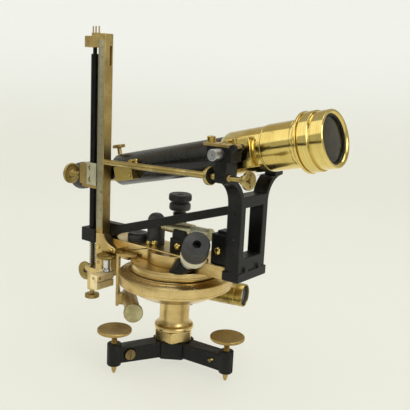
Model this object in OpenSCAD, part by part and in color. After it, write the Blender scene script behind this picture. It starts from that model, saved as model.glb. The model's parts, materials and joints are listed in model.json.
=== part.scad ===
// Slope-reading tacheometer: levelling base, divided limb, alidade with lyre portal,
// telescope tilting at its objective end and read on an upright rule at its eyepiece end.
// Origin: on the vertical axis, level with the tips of the foot screws. +X is the portal side.

/* [Base] */
// Distance from the vertical axis to each foot screw
foot_circle_r = 66.7; // [62:0.1:72]
// Direction of the first foot screw, seen from above
foot_angle = -115.4; // [-125:0.1:-105]
// Radius of the foot screw heads
foot_head_r = 17.6; // [14:0.1:19]
// Height of the foot screw heads' underside
foot_head_z = 45.5; // [44:0.5:47]
// Radius over the corners of the six-sided tribrach hub
hub_r = 22; // [20:0.5:23]
// Underside of the tribrach arms
arm_bottom = 12.7; // [11:0.1:14]
// Upper side of the tribrach arms
arm_top = 29.2; // [27:0.1:31]
// Radius of the upright socket
socket_r = 15.8; // [15:0.1:17]

/* [Limb and alidade] */
// Radius of the divided limb
limb_r = 60; // [60:0.1:60.5]
// Underside of the limb rim
limb_bottom = 91.7; // [91.7:0.1:92]
// Upper side of the limb rim
limb_top = 103.1; // [102:0.1:103.1]
// Radius of the alidade plate
plate_r = 48; // [46:0.1:48.2]
// Upper side of the alidade plate
plate_top = 115; // [114.5:0.1:115.2]
// Upper side of the cross bar
bar_top = 128; // [127.8:0.1:128.1]

/* [Portal] */
// Distance from the vertical axis to the trunnion axis, along X
trunnion_x = 85.2; // [84.8:0.1:85.6]
// Height of the trunnion axis
trunnion_z = 239.5; // [239:0.1:240]
// Radius of the trunnion pins
trunnion_r = 5.2; // [5:0.1:6]
// Depth of the lyre, along X
lyre_depth = 15.6; // [14:0.1:16]
// Half width of the lyre over its legs
lyre_half_w = 22.7; // [22:0.1:23]
// Width of each leg of the lyre
leg_w = 8; // [7:0.1:9]
// Outer radius of the horns' sweep
horn_r = 24; // [23:0.1:25]

/* [Column] */
// Near X face of the upright rule
column_x = -80; // [-80.2:0.1:-79.8]
// Width of the rule, along X
column_w = 10; // [9:0.1:10.2]
// Top of the rule
column_top_z = 344; // [340:1:346]
// X of the sliding rod's axis
rod_x = -101; // [-101.5:0.1:-100.5]
// Y of the sliding rod's axis
rod_y = -25.25; // [-25.5:0.05:-25]
// Radius of the sliding rod
rod_r = 4; // [3.6:0.1:4.2]
// Turns of the rod's spring
spring_turns = 10; // [8:1:11]
// Radius of the spring's wire
spring_wire = 0.65; // [0.5:0.05:0.7]

/* [Telescope] */
// Tilt of the telescope at rest, objective end up
tilt = 12.9; // [12:0.1:14]
// Radius of the black main tube
main_r = 17.1; // [16.5:0.1:17.2]
// Radius of the brass objective tube
objective_r = 21.7; // [21.5:0.1:22]
// Radius of the objective's front ring
front_ring_r = 25.6; // [25:0.1:26]
// Radius of the objective's collar
collar_r = 27.7; // [27:0.1:28]
// Distance from the trunnion axis to the front of the objective
front_reach = 87; // [86:0.5:88]
// Distance from the trunnion axis to the back of the eyecup
back_reach = 249; // [248:0.5:250]
// Radius of the eyecup
eyecup_r = 15.5; // [14.5:0.1:15.5]

/* [Hidden] */
$fn = 64;
fit = 0.05;
clear = 0.3;
foot_screw_r = 3;
hub_bottom = arm_bottom - 0.7;
hub_top = arm_top + 0.8;
flange_r = 21.6;
flange_top = 41.5;
boss_r = 7.3;
spindle_r = 11;
inner_spindle_r = 7;
arm_w_hub = 18;
arm_w_boss = 13;
dish_r = 40;
dish_bottom = 80;
plate_bottom = 106.6;
bar_front = -20;
bar_back = 17;
bar_left = -92;
portal_x = 76;
lyre_x = 77.6;
lyre_front = lyre_x + lyre_depth;
crossbar_bottom = 188;
crossbar_top = 198.5;
horn_start = 190;
horn_top = horn_start + horn_r;
horn_inner_r = horn_r + 5;
bearing_x = 70;
bearing_w = 27;
bearing_inner = 33;
bearing_outer = 49.5;
bearing_top = 245.8;
neck_x = 80.6;
pin_reach = 61.3;
level_z = 151.5;
level_r = 6.5;
clamp_axis = [-67, -35.6];
sleeve_end = 23;
column_front = -31;
column_back = -19.5;
column_left = column_x - column_w;
column_base = 134;
foot_bottom = 92;
stay_start = [column_x, -27.5, 211.5];
stay_step = [163.5, -17.5, 7.1];
stay_length = 201.5;
stay_r = 3.2;
stay_tip = 176;
stay_tip_r = 2.4;
carriage_bottom = 181.5;
carriage_top = 208;
carriage_pin_r = 2.5;
carriage_pin_z = trunnion_z - (trunnion_x - rod_x) * tan(tilt);
guide_bottom = 121.5;
rod_shoulder = 120;
stem_r = 1.95;
spring_r = stem_r + spring_wire + 0.45;
spring_low = foot_bottom + spring_wire + 0.2;
spring_high = rod_shoulder - spring_wire - 0.3;
barrel_z = 70;
barrel_end = [-5.8, -57];
barrel_turn = 139.3;
compass_end = [45, 66.7, 71];
compass_turn = 12.8;
compass_r = 12.8;
microscope_axis = [60.3, -43.8, 153.2];
microscope_lean = [52, -45];
eye_tube_foot = [27.5, -29.5, plate_top];
eye_tube_step = [15, 3.5, 18.5];
rear_eye_x = -0.479 * plate_r;
rear_eye_y = 0.625 * plate_r;
rear_flange_r = 8;
tube_back = 35 - back_reach;
strap_inner = limb_r + 1;
strap_outer = limb_r + 4;

// Box from one corner to the opposite one
module span(a, b) {
    translate(a) cube(b - a);
}

// Upright cylinder between two heights
module post(x, y, z0, z1, r) {
    translate([x, y, z0]) cylinder(h = z1 - z0, r = r);
}

// Cylinder along X
module along_x(x0, x1, y, z, r) {
    translate([x0, y, z]) rotate([0, 90, 0]) cylinder(h = x1 - x0, r = r);
}

// Cylinder along Y
module along_y(y0, y1, x, z, r) {
    translate([x, y0, z]) rotate([-90, 0, 0]) cylinder(h = y1 - y0, r = r);
}

// Six-sided block on the vertical axis, with a face towards each arm
module six_sided(z0, z1, r) {
    translate([0, 0, z0]) rotate([0, 0, foot_angle + 30]) cylinder(h = z1 - z0, r = r, $fn = 6);
}

// Turned piece on the Z axis, from [radius, height] pairs
module turned(points) {
    rotate_extrude($fn = 96) polygon(points);
}

// Turned piece on the telescope's axis, from [radius, distance] pairs
module turned_x(points) {
    rotate([0, 90, 0]) turned(points);
}

// The telescope's own axes: X along the tube to the objective, Z square to it
module on_telescope() {
    translate([trunnion_x, 0, trunnion_z]) rotate([0, -tilt, 0]) children();
}

// Points of an arc, from one angle to another
function arc(centre, r, a0, a1, steps) =
    [for (i = [0:steps]) let (a = a0 + (a1 - a0) * i / steps) centre + r * [cos(a), sin(a)]];

// Direction of each of the three arms
function arm_angle(i) = foot_angle + 120 * i;

module tribrach() {
    color("#1d1e1f") difference() {
        union() {
            six_sided(hub_bottom, hub_top, hub_r);
            for (i = [0:2]) rotate([0, 0, arm_angle(i)]) tribrach_arm();
        }
        post(0, 0, hub_bottom - 1, hub_bottom + 12, 5);
        for (i = [0:2]) rotate([0, 0, arm_angle(i)]) {
            post(foot_circle_r, 0, 8, 34, foot_screw_r + fit);
            span([foot_circle_r + 2, -0.6, 8], [foot_circle_r + 12, 0.6, 34]);
            along_y(-12, 12, 52, 21, 2);
            along_y(6.2, 14, 52, 21, 6.2);
        }
    }
}

module tribrach_arm() {
    translate([0, 0, arm_bottom]) linear_extrude(arm_top - arm_bottom)
        polygon([
            [10, -arm_w_hub / 2], [foot_circle_r, -arm_w_boss / 2],
            [foot_circle_r, arm_w_boss / 2], [10, arm_w_hub / 2]
        ]);
    post(foot_circle_r, 0, 9.5, 33, boss_r);
}

// Screw across an arm that sets how stiffly its foot screw turns
module tension_screw(i) {
    color("#b08d4a") rotate([0, 0, arm_angle(i)]) difference() {
        union() {
            along_y(-9.2, 6.3, 52, 21, 1.95);
            along_y(6.2, 8.8, 52, 21, 5.6);
        }
        span([51.4, 7.8, 14], [52.6, 10, 28]);
    }
}

module foot_screw(i) {
    color("#b8925a") translate([foot_circle_r * cos(arm_angle(i)), foot_circle_r * sin(arm_angle(i)), 0])
        turned([
            [0, 0], [1.8, 0], [1.8, 2.5], [foot_screw_r, 5.5], [foot_screw_r, foot_head_z],
            [foot_head_r - 0.6, foot_head_z], [foot_head_r, foot_head_z + 0.6],
            [foot_head_r, foot_head_z + 2.8], [foot_head_r - 0.6, foot_head_z + 3.4],
            [0, foot_head_z + 3.4]
        ]);
}

module socket() {
    bead_r = socket_r + 5.1;
    color("#c09a5e") difference() {
        union() {
            six_sided(hub_top, flange_top, flange_r);
            turned([
                [0, flange_top - 1], [bead_r - 2.4, flange_top - 1], [bead_r - 2.4, flange_top + 0.4],
                [bead_r - 0.8, flange_top + 0.4], [bead_r, flange_top + 1.4],
                [bead_r, flange_top + 3.5], [bead_r - 1.3, flange_top + 5.3],
                [socket_r + 2.4, flange_top + 6.1], [socket_r + 0.8, flange_top + 8.3],
                [socket_r, flange_top + 11.5], [socket_r, 74.5], [socket_r + 1.4, 74.5],
                [socket_r + 1.4, 79.7], [0, 79.7]
            ]);
        }
        post(0, 0, 42, 82, spindle_r + fit);
    }
}

module limb() {
    color("#c4a05f") turned([
        [inner_spindle_r + fit, 44], [spindle_r, 44], [spindle_r, dish_bottom],
        [dish_r, dish_bottom], [limb_r - 2.8, limb_bottom - 0.9], [limb_r - 0.6, limb_bottom],
        [limb_r, limb_bottom + 0.6], [limb_r, limb_top], [plate_r + 0.6, limb_top + 2.8],
        [plate_r + 0.6, plate_bottom - clear], [inner_spindle_r + fit, plate_bottom - clear]
    ]);
}

module alidade_plate() {
    color("#bd9857") turned([
        [0, 46], [inner_spindle_r, 46], [inner_spindle_r, plate_bottom], [plate_r - 0.5, plate_bottom],
        [plate_r, plate_bottom + 0.5], [plate_r, plate_top - 0.5], [plate_r - 0.5, plate_top], [0, plate_top]
    ]);
}

module cross_bar() {
    color("#c29c5b") union() {
        post(0, 0, plate_top, bar_top - 1, 30);
        span([bar_left, bar_front, plate_top], [-20, bar_back, bar_top]);
        span([bar_left, bar_front, 108], [-plate_r - 2.5, bar_back, plate_top + 1]);
        span([-21, -19, plate_top], [portal_x, 19, bar_top]);
    }
}

// Half outline of the lyre above its base, on the +Y side, as [y, z]
function lyre_side() = let (centre = [lyre_half_w + horn_r, horn_start]) concat(
    [[lyre_half_w - leg_w, crossbar_bottom], [lyre_half_w - leg_w, 136], [lyre_half_w, 136]],
    arc(centre, horn_r, 180, 90, 14),
    arc(centre, horn_inner_r, 180 - asin(horn_r / horn_inner_r),
        180 - asin((crossbar_top - horn_start) / horn_inner_r), 8)
);

// Whole outline: the +Y side, then its mirror image in reverse
function lyre_outline() = let (side = lyre_side(), n = len(side))
    concat(side, [for (i = [n - 1:-1:0]) [-side[i][0], side[i][1]]]);

module portal_frame() {
    color("#17181a") union() {
        span([portal_x, -24.3, 117.3], [94.6, 24.3, 126.4]);
        span([lyre_x, -lyre_half_w, 126], [lyre_front, lyre_half_w, 139.2]);
        translate([lyre_x, 0, 0]) rotate([90, 0, 90]) linear_extrude(lyre_depth) polygon(lyre_outline());
    }
}

module portal_block() {
    color("#191a1c") difference() {
        union() {
            span([56, -16, bar_top], [portal_x, 4, 158]);
            span([60, -12, 157], [72, 0, 161]);
        }
        along_y(-17, -12, 65, 142, 3);
    }
}

// Bearing block on a horn of the lyre, on the +Y side; neck_outer is the neck's outer face
module bearing_block(neck_outer) {
    cap_x = bearing_x + bearing_w;
    difference() {
        union() {
            span([neck_x, bearing_inner, horn_top], [lyre_front, neck_outer, 234]);
            span([bearing_x, bearing_inner, 233], [cap_x, bearing_outer, bearing_top]);
            for (y = [35, bearing_outer - 3.6]) {
                span([cap_x - 1, y, bearing_top - 4], [cap_x + 1.5, y + 3.6, bearing_top]);
                along_y(y, y + 3.6, cap_x + 1.5, bearing_top + 0.5, 2.8);
            }
            along_y(35, bearing_outer, cap_x + 1.5, bearing_top + 0.5, 1);
        }
        along_y(bearing_inner - 1, bearing_outer + 1, trunnion_x, trunnion_z, trunnion_r + fit);
    }
}

module bearing_near() {
    color("#1a1b1d") difference() {
        mirror([0, 1, 0]) bearing_block(50.3);
        stay_line() translate([0, 0, 130]) cylinder(h = 60, r = stay_r + fit);
    }
}

module bearing_far() {
    color("#1a1b1d") bearing_block(47);
}

// Hinged cap over a bearing, with its knurled nut, on the +Y side
module bearing_cap() {
    hinge_x = bearing_x + bearing_w + 1.5;
    hinge_z = bearing_top + 0.5;
    difference() {
        union() {
            span([bearing_x - 4, 35, bearing_top + 0.1], [hinge_x - 4, bearing_outer, bearing_top + 2.6]);
            span([hinge_x - 5, 39, bearing_top + 0.1], [hinge_x, 45.5, bearing_top + 2.6]);
            along_y(39, 45.5, hinge_x, hinge_z, 2.8);
            post(bearing_x + 0.3, 43, bearing_top + 2, bearing_top + 8.2, 3.9);
            post(95, 42.3, bearing_top + 2, bearing_top + 8.4, 2.3);
        }
        along_y(37, 48, hinge_x, hinge_z, 1 + fit);
        translate([hinge_x - 3.2, 38.6, bearing_top - 6]) cube([8, 7.3, 6]);
    }
}

module cap_near() {
    color("#b8904c") mirror([0, 1, 0]) bearing_cap();
}

module cap_far() {
    color("#b8904c") bearing_cap();
}

// Line of the stay rod: Z runs along it from the rule towards the portal
module stay_line() {
    reach = norm(stay_step);
    lean = acos(stay_step[2] / reach);
    turn = atan2(stay_step[1], stay_step[0]);
    translate(stay_start) rotate([0, lean, turn]) children();
}

module stay_rod() {
    color("#b4934f") difference() {
        stay_line() turned([
            [0, -2], [stay_r, -2], [stay_r, stay_tip], [stay_tip_r, stay_tip + 0.8],
            [stay_tip_r, stay_length], [0, stay_length]
        ]);
        span([column_left - 5, -40, 200], [column_x, -10, 225]);
    }
}

module capstan_nut() {
    color("#b8924c") stay_line() difference() {
        union() {
            translate([0, 0, 189.7]) cylinder(h = 6, r = 3.9);
            translate([0, 0, 195.7]) cylinder(h = 3.6, r = 8.2);
        }
        translate([0, 0, 188]) cylinder(h = 14, r = stay_tip_r + fit);
        for (a = [45:90:315]) rotate([0, 0, a]) translate([5.2, 0, 197.5]) rotate([0, 90, 0])
            cylinder(h = 6, r = 1.1, $fn = 24);
    }
}

module lock_nut() {
    color("#b8924c") stay_line() difference() {
        turned([
            [0, 150.3], [8.2, 150.3], [8.4, 150.7], [8.4, 154], [8.1, 154.3], [7, 154.3],
            [6.4, 152.6], [0, 152.6]
        ]);
        translate([0, 0, 148]) cylinder(h = 10, r = stay_r + fit);
    }
}

// Inclined brace from the rod guide behind the rule up to the near leg of the lyre
module brace_beam() {
    color("#18191b") difference() {
        union() {
            translate([0, -10, 0]) rotate([90, 0, 0]) linear_extrude(-10 - column_back)
                polygon(concat(
                    [[lyre_x, 188.6], [-66, 144.5], [-100, 144], [-100, bar_top], [-78, bar_top]],
                    arc([-58, 108], 28, 134, 103, 8),
                    [[lyre_x, 180.2]]
                ));
            span([-112, -32, guide_bottom], [column_left - 1, bar_front, 136.5]);
            span([-100, bar_front - 1, bar_top], [column_left - 1, -10, 136.5]);
        }
        post(rod_x, rod_y, 110, 150, rod_r + fit);
    }
}

module column() {
    color("#ad8b4c") difference() {
        span([column_left, column_front, column_base], [column_x, column_back, column_top_z]);
        span([column_x - 4, -24, 312], [column_x + 1, -21, 332]);
    }
}

module column_foot() {
    color("#c8a35e") union() {
        translate([0, bar_front, 0]) rotate([90, 0, 0]) linear_extrude(bar_front - column_front)
            polygon(concat(
                [[column_left, foot_bottom], [column_x, foot_bottom], [column_x, 115.5], [-60, 115.5], [-60, 121]],
                arc([-62, 141], 18.5, 257, 203, 8),
                [[column_x, column_base], [column_left, column_base]]
            ));
    }
}

module column_top() {
    color("#ab8748") difference() {
        union() {
            span([-111, column_front, 330], [column_left, column_back, 341.5]);
            span([-102, -29.6, 341], [column_left, -27.6, 344.6]);
            for (x = [-100.5, -96.4, -91.6]) post(x, -28.6, 344, 351.5, 0.75);
        }
        post(rod_x, rod_y, 325, 345, 2.2 + fit);
    }
}

module slope_rod() {
    color("#141516") translate([rod_x, rod_y, 0]) turned([
        [0, 93], [stem_r, 93], [stem_r, rod_shoulder], [rod_r, rod_shoulder],
        [rod_r, 323.5], [2.2, 323.5], [2.2, 338], [0, 338]
    ]);
}

// Centre of one ring of the spring's wire
function spring_centre(i) = let (rings = 8 * spring_turns, a = 360 * spring_turns * i / rings)
    [spring_r * cos(a), spring_r * sin(a), spring_low + (spring_high - spring_low) * i / rings];

// Least gap between the wire and itself, among rings at least half a turn apart
function spring_gap() = min([
    for (i = [0:8 * spring_turns - 4], k = [4:1:8 * spring_turns - i])
        norm(spring_centre(i) - spring_centre(i + k))
]) - 2 * spring_wire;

// The spring's wire: one closed tube from its first ring to its last
module spring_tube() {
    sides = 6;
    rings = 8 * spring_turns;
    points = [for (i = [0:rings]) let (c = spring_centre(i), a = 360 * spring_turns * i / rings)
        for (j = [0:sides - 1]) let (b = 360 * j / sides)
            c + spring_wire * [cos(b) * cos(a), cos(b) * sin(a), sin(b)]];
    walls = [for (i = [0:rings - 1]) for (j = [0:sides - 1]) let (k = (j + 1) % sides)
        each [[i * sides + j, i * sides + k, (i + 1) * sides + k],
              [i * sides + j, (i + 1) * sides + k, (i + 1) * sides + j]]];
    ends = [[for (j = [sides - 1:-1:0]) j], [for (j = [0:sides - 1]) rings * sides + j]];
    polyhedron(points = points, faces = concat(walls, ends), convexity = 10);
}

module rod_spring() {
    echo(least_gap_of_the_spring_in_mm = spring_gap());
    color("#8f8a7c") translate([rod_x, rod_y, 0]) spring_tube();
}

module rod_bracket() {
    color("#c3a062") difference() {
        union() {
            span([-107, column_front, 87], [column_x, bar_front, foot_bottom]);
            span([rod_x - 3.7, -29.5, 65], [rod_x + 5.4, bar_front, 87.5]);
        }
        post(rod_x, rod_y, 60, 95, 2 + fit);
    }
}

module rod_thumb_screw() {
    color("#7f7149") translate([rod_x, rod_y, 0]) turned([
        [0, 55.6], [7.4, 55.6], [8.1, 56.4], [8.1, 59.2], [7.4, 60], [3, 60.6], [2.4, 63], [2, 64.5],
        [2, 91], [0, 91]
    ]);
}

module carriage() {
    color("#9b7c3d") difference() {
        union() {
            span([-114, -30.5, carriage_bottom], [column_left - 1, -18.5, carriage_top]);
            span([-118, -30.5, carriage_bottom + 3], [-113, -20.5, carriage_top - 2]);
            along_y(-19, -12.5, rod_x, carriage_pin_z, carriage_pin_r);
        }
        post(rod_x, rod_y, 170, 220, rod_r + fit);
        along_x(-122, -110, -28, 193.1, 2);
    }
}

module vernier_plate() {
    color("#c9ccb8") difference() {
        span([-104.5, -32, 185.3], [column_left - 0.4, -30.5, 209.2]);
        along_y(-33, -30, -101, 203.5, 1.6);
        along_y(-33, -30, -101, 191, 1.6);
    }
}

module carriage_knob() {
    color("#a88c4a") translate([0, -28, 193.1]) turned_x([
        [0, -135.2], [10.6, -135.2], [11.4, -134.6], [11.4, -132.6], [10.6, -132],
        [4.6, -131.4], [3.4, -127], [3.4, -119], [1.95, -119], [1.95, -110.5], [0, -110.5]
    ]);
}

// Split clamp under the foot of the rule
module clamp_jaws() {
    color("#c5a463") difference() {
        union() {
            span([-73.2, -54, 79.5], [-62.4, -29.5, 95.2]);
            span([column_x, -34.5, foot_bottom], [-63, -26, 95.2]);
        }
        span([-69, -52.6, 87], [-62, -29, 88]);
        post(clamp_axis[0], clamp_axis[1], 78, 98, 3 + fit);
    }
}

module clamp_screw() {
    color("#b9a070") translate(concat(clamp_axis, 0)) turned([
        [0, 80], [3, 80], [3, 95.6], [4.6, 95.6], [4.1, 98.5], [4.1, 108.5], [5, 111],
        [10.8, 111], [11.5, 111.7], [11.5, 113.6], [10.8, 114.3], [0, 114.3]
    ]);
}

module tangent_bracket() {
    color("#a8843f") difference() {
        union() {
            span([-123, -12, 76.5], [-113, -4, 87.5]);
            span([-114, -12, 80], [-84, -4, 87.5]);
            span([bar_left, -12, 80], [-84, -4, 108]);
        }
        along_y(-14, 0, -118, 81.8, 2 + fit);
    }
}

module tangent_screw() {
    color("#9c8337") translate([-118, 0, 81.8]) rotate([-90, 0, 0]) turned([
        [0, -20.9], [2.6, -20.9], [3.6, -21.9], [9.8, -21.9], [10.5, -21.2], [10.5, -19.2], [9.8, -18.5],
        [3.4, -18], [3.2, -13], [2, -13], [2, 4], [0, 4]
    ]);
}

// Frame of a strap that hangs outside the limb: X points outwards
module at_angle(a) {
    rotate([0, 0, a]) children();
}

// Frame of the slow-motion barrel: X runs back from its knob
module barrel_line() {
    translate([barrel_end[0], barrel_end[1], barrel_z]) rotate([0, 0, barrel_turn]) children();
}

module barrel_strap() {
    color("#5f531f") difference() {
        at_angle(210) union() {
            span([42, 0, plate_top], [plate_r, 4, plate_top + 3]);
            span([plate_r - 0.9, -4, plate_top], [strap_outer, 4, plate_top + 3]);
            span([strap_inner, -4, 60], [strap_outer, 4, plate_top + 3]);
            span([54.5, -4, 62], [strap_outer, 4, 74]);
        }
        barrel_line() along_x(-10, 80, 0, 0, 8);
    }
}

module tangent_barrel() {
    color("#93763a") barrel_line() turned_x([
        [0, 5.4], [3, 5.4], [3, 8], [8, 8], [8, 60], [6.8, 62], [0, 62]
    ]);
}

module barrel_knob() {
    color("#b9a878") barrel_line() turned_x([
        [0, 0], [9, 0], [9.8, 0.8], [9.8, 4.2], [9, 5], [0, 5]
    ]);
}

// Frame of the tubular compass: X runs along it towards its bright end
module compass_line() {
    translate(compass_end) rotate([0, 0, compass_turn]) children();
}

module compass_strap(a) {
    color("#a8843f") difference() {
        at_angle(a) union() {
            span([plate_r - 2.1, -4, plate_top], [strap_outer, 4, plate_top + 3]);
            span([strap_inner, -4, 72], [strap_outer, 4, plate_top + 3]);
        }
        compass_line() along_x(-140, 10, 0, 0, compass_r);
    }
}

module compass_tube() {
    color("#a98a3e") compass_line() turned_x([
        [0, -1.6], [10.4, -1.6], [10.4, 0], [12, 0], [compass_r, -0.8], [compass_r, -8], [12.2, -8.6],
        [12.2, -9.6], [compass_r, -10.2], [compass_r, -108], [12, -109], [10.4, -109], [10.4, -107.4],
        [0, -107.4]
    ]);
}

module level_tube() {
    color("#a9a98c") difference() {
        along_x(-16, 46, -3, level_z, level_r);
        along_x(-17, -13, -3, level_z, 2.2);
    }
}

module level_bracket() {
    color("#1b1c1e") difference() {
        union() {
            span([0, -12, bar_top], [22, 6, 142]);
            span([3, -11, 141], [19, 5, level_z - 0.2]);
        }
        along_x(-20, 50, -3, level_z, level_r);
        along_y(-13, -9, 11, 135, 3);
    }
}

module axis_boss() {
    color("#1c1c1d") translate([-54, -2, 0]) turned([
        [0, bar_top], [11.5, bar_top], [11.5, 134], [10, 136], [0, 136]
    ]);
}

module domed_post() {
    color("#1b1c1e") translate([-30, 0, 0]) turned(concat(
        [[0, bar_top], [9.4, bar_top], [9.4, 152]], arc([0, 152], 9.4, 8, 90, 8)
    ));
}

// Frame of the front microscope: Z runs up its axis, zero at the face of the eyecup
module microscope_line() {
    translate(microscope_axis) rotate([0, microscope_lean[0], microscope_lean[1]]) children();
}

// Frame of the tube below its bend: Z runs up from the alidade plate
module eye_tube_line() {
    lean = acos(eye_tube_step[2] / norm(eye_tube_step));
    turn = atan2(eye_tube_step[1], eye_tube_step[0]);
    translate(eye_tube_foot) rotate([0, lean, turn]) children();
}

module front_microscope() {
    color("#1d1e20") difference() {
        union() {
            eye_tube_line() rotate([0, 0, 110]) post(0, 0, -9, 12, 8);
            eye_tube_line() post(0, 0, 10, 25.6, 6.8);
            microscope_line() turned([
                [0, -33.5], [9.5, -33.5], [9.5, -31.5], [12.8, -31.5], [12.8, -20.4], [0, -20.4]
            ]);
        }
        span([0, -60, 90], [60, -10, plate_top]);
        microscope_line() post(0, 0, -27.5, 0, 5 + fit);
    }
}

module front_eyecup() {
    color("#262728") microscope_line() difference() {
        turned([
            [0, -26.5], [5, -26.5], [5, -20], [12.6, -20], [13.4, -19.2], [13.4, -14.6], [12.9, -14],
            [12.9, -3], [12.3, -0.7], [11.3, 0], [9.6, -0.5], [6.2, -1.4], [0, -1.4]
        ]);
        post(0, 0, -12, 3, 4);
    }
}

module rear_microscope() {
    color("#1d1e20") difference() {
        union() {
            post(rear_eye_x, rear_eye_y, plate_top, 121, rear_flange_r);
            post(rear_eye_x, rear_eye_y, plate_top, 159, 7.3);
        }
        post(rear_eye_x, rear_eye_y, 153, 160, 5 + fit);
        span([-60, 0, plate_top - 1], [20, bar_back, 130]);
        post(0, 0, plate_top - 1, bar_top + 2, 30);
    }
}

module rear_eyecup() {
    color("#262728") translate([rear_eye_x, rear_eye_y, 0]) difference() {
        turned([
            [0, 157], [5, 157], [5, 161.5], [10.4, 161.5], [11.8, 163.3], [11.8, 167.6], [10.4, 169.6],
            [8.6, 170], [8.6, 171], [11.2, 171.6], [12.5, 173.4], [12.5, 177.8], [11.4, 179.6], [10, 180],
            [6, 178.6], [0, 178.6]
        ]);
        post(0, 0, 174.5, 182, 3.4);
    }
}

module main_tube() {
    color("#141415") on_telescope() turned_x([
        [11, -177], [13.6, -177], [main_r, -171], [main_r, -5], [main_r - 1.6, -5],
        [main_r - 1.6, -168], [11, -171]
    ]);
}

module brass_sleeve() {
    color("#c0a04e") on_telescope() difference() {
        union() {
            turned_x([
                [main_r, -25], [main_r + 0.5, -25], [20.4, -19], [20.7, 14], [20.7, sleeve_end],
                [main_r, sleeve_end]
            ]);
            difference() {
                span([-14, -27, -15], [16.5, 27, 11.7]);
                along_x(-30, 20, 0, 0, 19);
            }
        }
        translate([0, 0, 0]) along_x(-30, 20, 0, 0, main_r);
    }
}

module trunnion_pin(side) {
    color("#8d9096") difference() {
        translate([trunnion_x, side * 44.15, trunnion_z]) rotate([90, 0, 0])
            cylinder(h = 34.3, r = trunnion_r, center = true);
        translate([trunnion_x, side * pin_reach, trunnion_z]) rotate([90, 0, 0])
            cylinder(h = 3, r = 1.2, center = true, $fn = 24);
    }
}

module objective_tube() {
    color("#c8aa45") on_telescope() turned_x([
        [19.8, sleeve_end], [20.9, sleeve_end], [objective_r, sleeve_end + 0.8], [objective_r, 56.5], [22.8, 57], [22.8, 60],
        [19.8, 60]
    ]);
}

module objective_ring() {
    color("#c3a53f") on_telescope() turned_x([
        [19.8, 60], [27.2, 60], [collar_r, 60.5], [collar_r, 62], [27.2, 62.5], [25.4, 62.7],
        [25.4, 63.6], [26.9, 64], [26.9, 72.6], [26.4, 73.2], [24.6, 73.4], [24.6, 75],
        [front_ring_r, 75.4], [front_ring_r, front_reach - 0.8], [front_ring_r - 0.8, front_reach],
        [23, front_reach], [21.4, front_reach - 1.2], [21.4, 80], [19.8, 80]
    ]);
}

module objective_glass() {
    color("#26221c") on_telescope() turned_x([
        [0, 80], [21.4, 80], [21.4, 82.6], [15, 83.1], [8, 83.4], [0, 83.5]
    ]);
}

module side_box() {
    color("#bb964c") on_telescope() difference() {
        span([-160, -24.5, -12], [-134.5, -10, 3.5]);
        along_x(-170, -120, 0, 0, main_r);
    }
}

module eyepiece_tube() {
    slack = 3;
    color("#a88544") on_telescope() difference() {
        union() {
            along_x(tube_back, -171, 0, 0, 11);
            span([-205, -17.5, -9.5], [-179, -8, 9.5]);
        }
        span([-201.5, -18, -carriage_pin_r - slack], [-182.5, -11.4, carriage_pin_r + slack]);
        along_x(tube_back - 2, -170, 0, 0, 9 + fit);
    }
}

module eyecup() {
    color("#232425") on_telescope() difference() {
        turned_x([
            [0, -back_reach], [6, -back_reach], [11, 1.5 - back_reach], [14.6, 5 - back_reach],
            [eyecup_r, 9 - back_reach], [eyecup_r, 17 - back_reach], [13, 19 - back_reach],
            [9, 19 - back_reach], [9, -186], [0, -186]
        ]);
        along_x(-260, 3 - back_reach, 0, 0, 4);
    }
}

module focus_knob() {
    color("#a98f4a") on_telescope() translate([-172.3, 0, 0]) turned([
        [0, main_r + 0.1], [2.3, main_r + 0.1], [2.3, 24], [6.4, 24], [6.9, 24.5], [6.9, 27], [6.4, 27.5],
        [0, 27.5]
    ]);
}

tribrach();
socket();
tension_screw(0);  // tension_screw_left
tension_screw(1);  // tension_screw_right
tension_screw(2);  // tension_screw_rear
foot_screw(0);  // foot_screw_left
foot_screw(1);  // foot_screw_right
foot_screw(2);  // foot_screw_rear
limb();
alidade_plate();
cross_bar();
portal_frame();
portal_block();
bearing_near();
bearing_far();
cap_near();
cap_far();
brace_beam();
column();
column_foot();
column_top();
slope_rod();
rod_spring();
rod_bracket();
rod_thumb_screw();
carriage();
vernier_plate();
carriage_knob();
clamp_jaws();
clamp_screw();
tangent_bracket();
tangent_screw();
stay_rod();
capstan_nut();
lock_nut();
barrel_strap();
tangent_barrel();
barrel_knob();
compass_strap(127.8);  // compass_strap_left
compass_strap(77.8);  // compass_strap_right
compass_tube();
level_tube();
level_bracket();
axis_boss();
domed_post();
front_microscope();
front_eyecup();
rear_microscope();
rear_eyecup();
main_tube();
brass_sleeve();
trunnion_pin(-1);  // trunnion_pin_near
trunnion_pin(1);  // trunnion_pin_far
objective_tube();
objective_ring();
objective_glass();
side_box();
eyepiece_tube();
eyecup();
focus_knob();
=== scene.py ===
# Looks of a slope-reading tacheometer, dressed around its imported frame.
# Sizes are in millimetres, in the frame's own axes, and mm brings them to metres.
import json
import math

import bmesh
import bpy
from mathutils import Matrix, Vector


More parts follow.
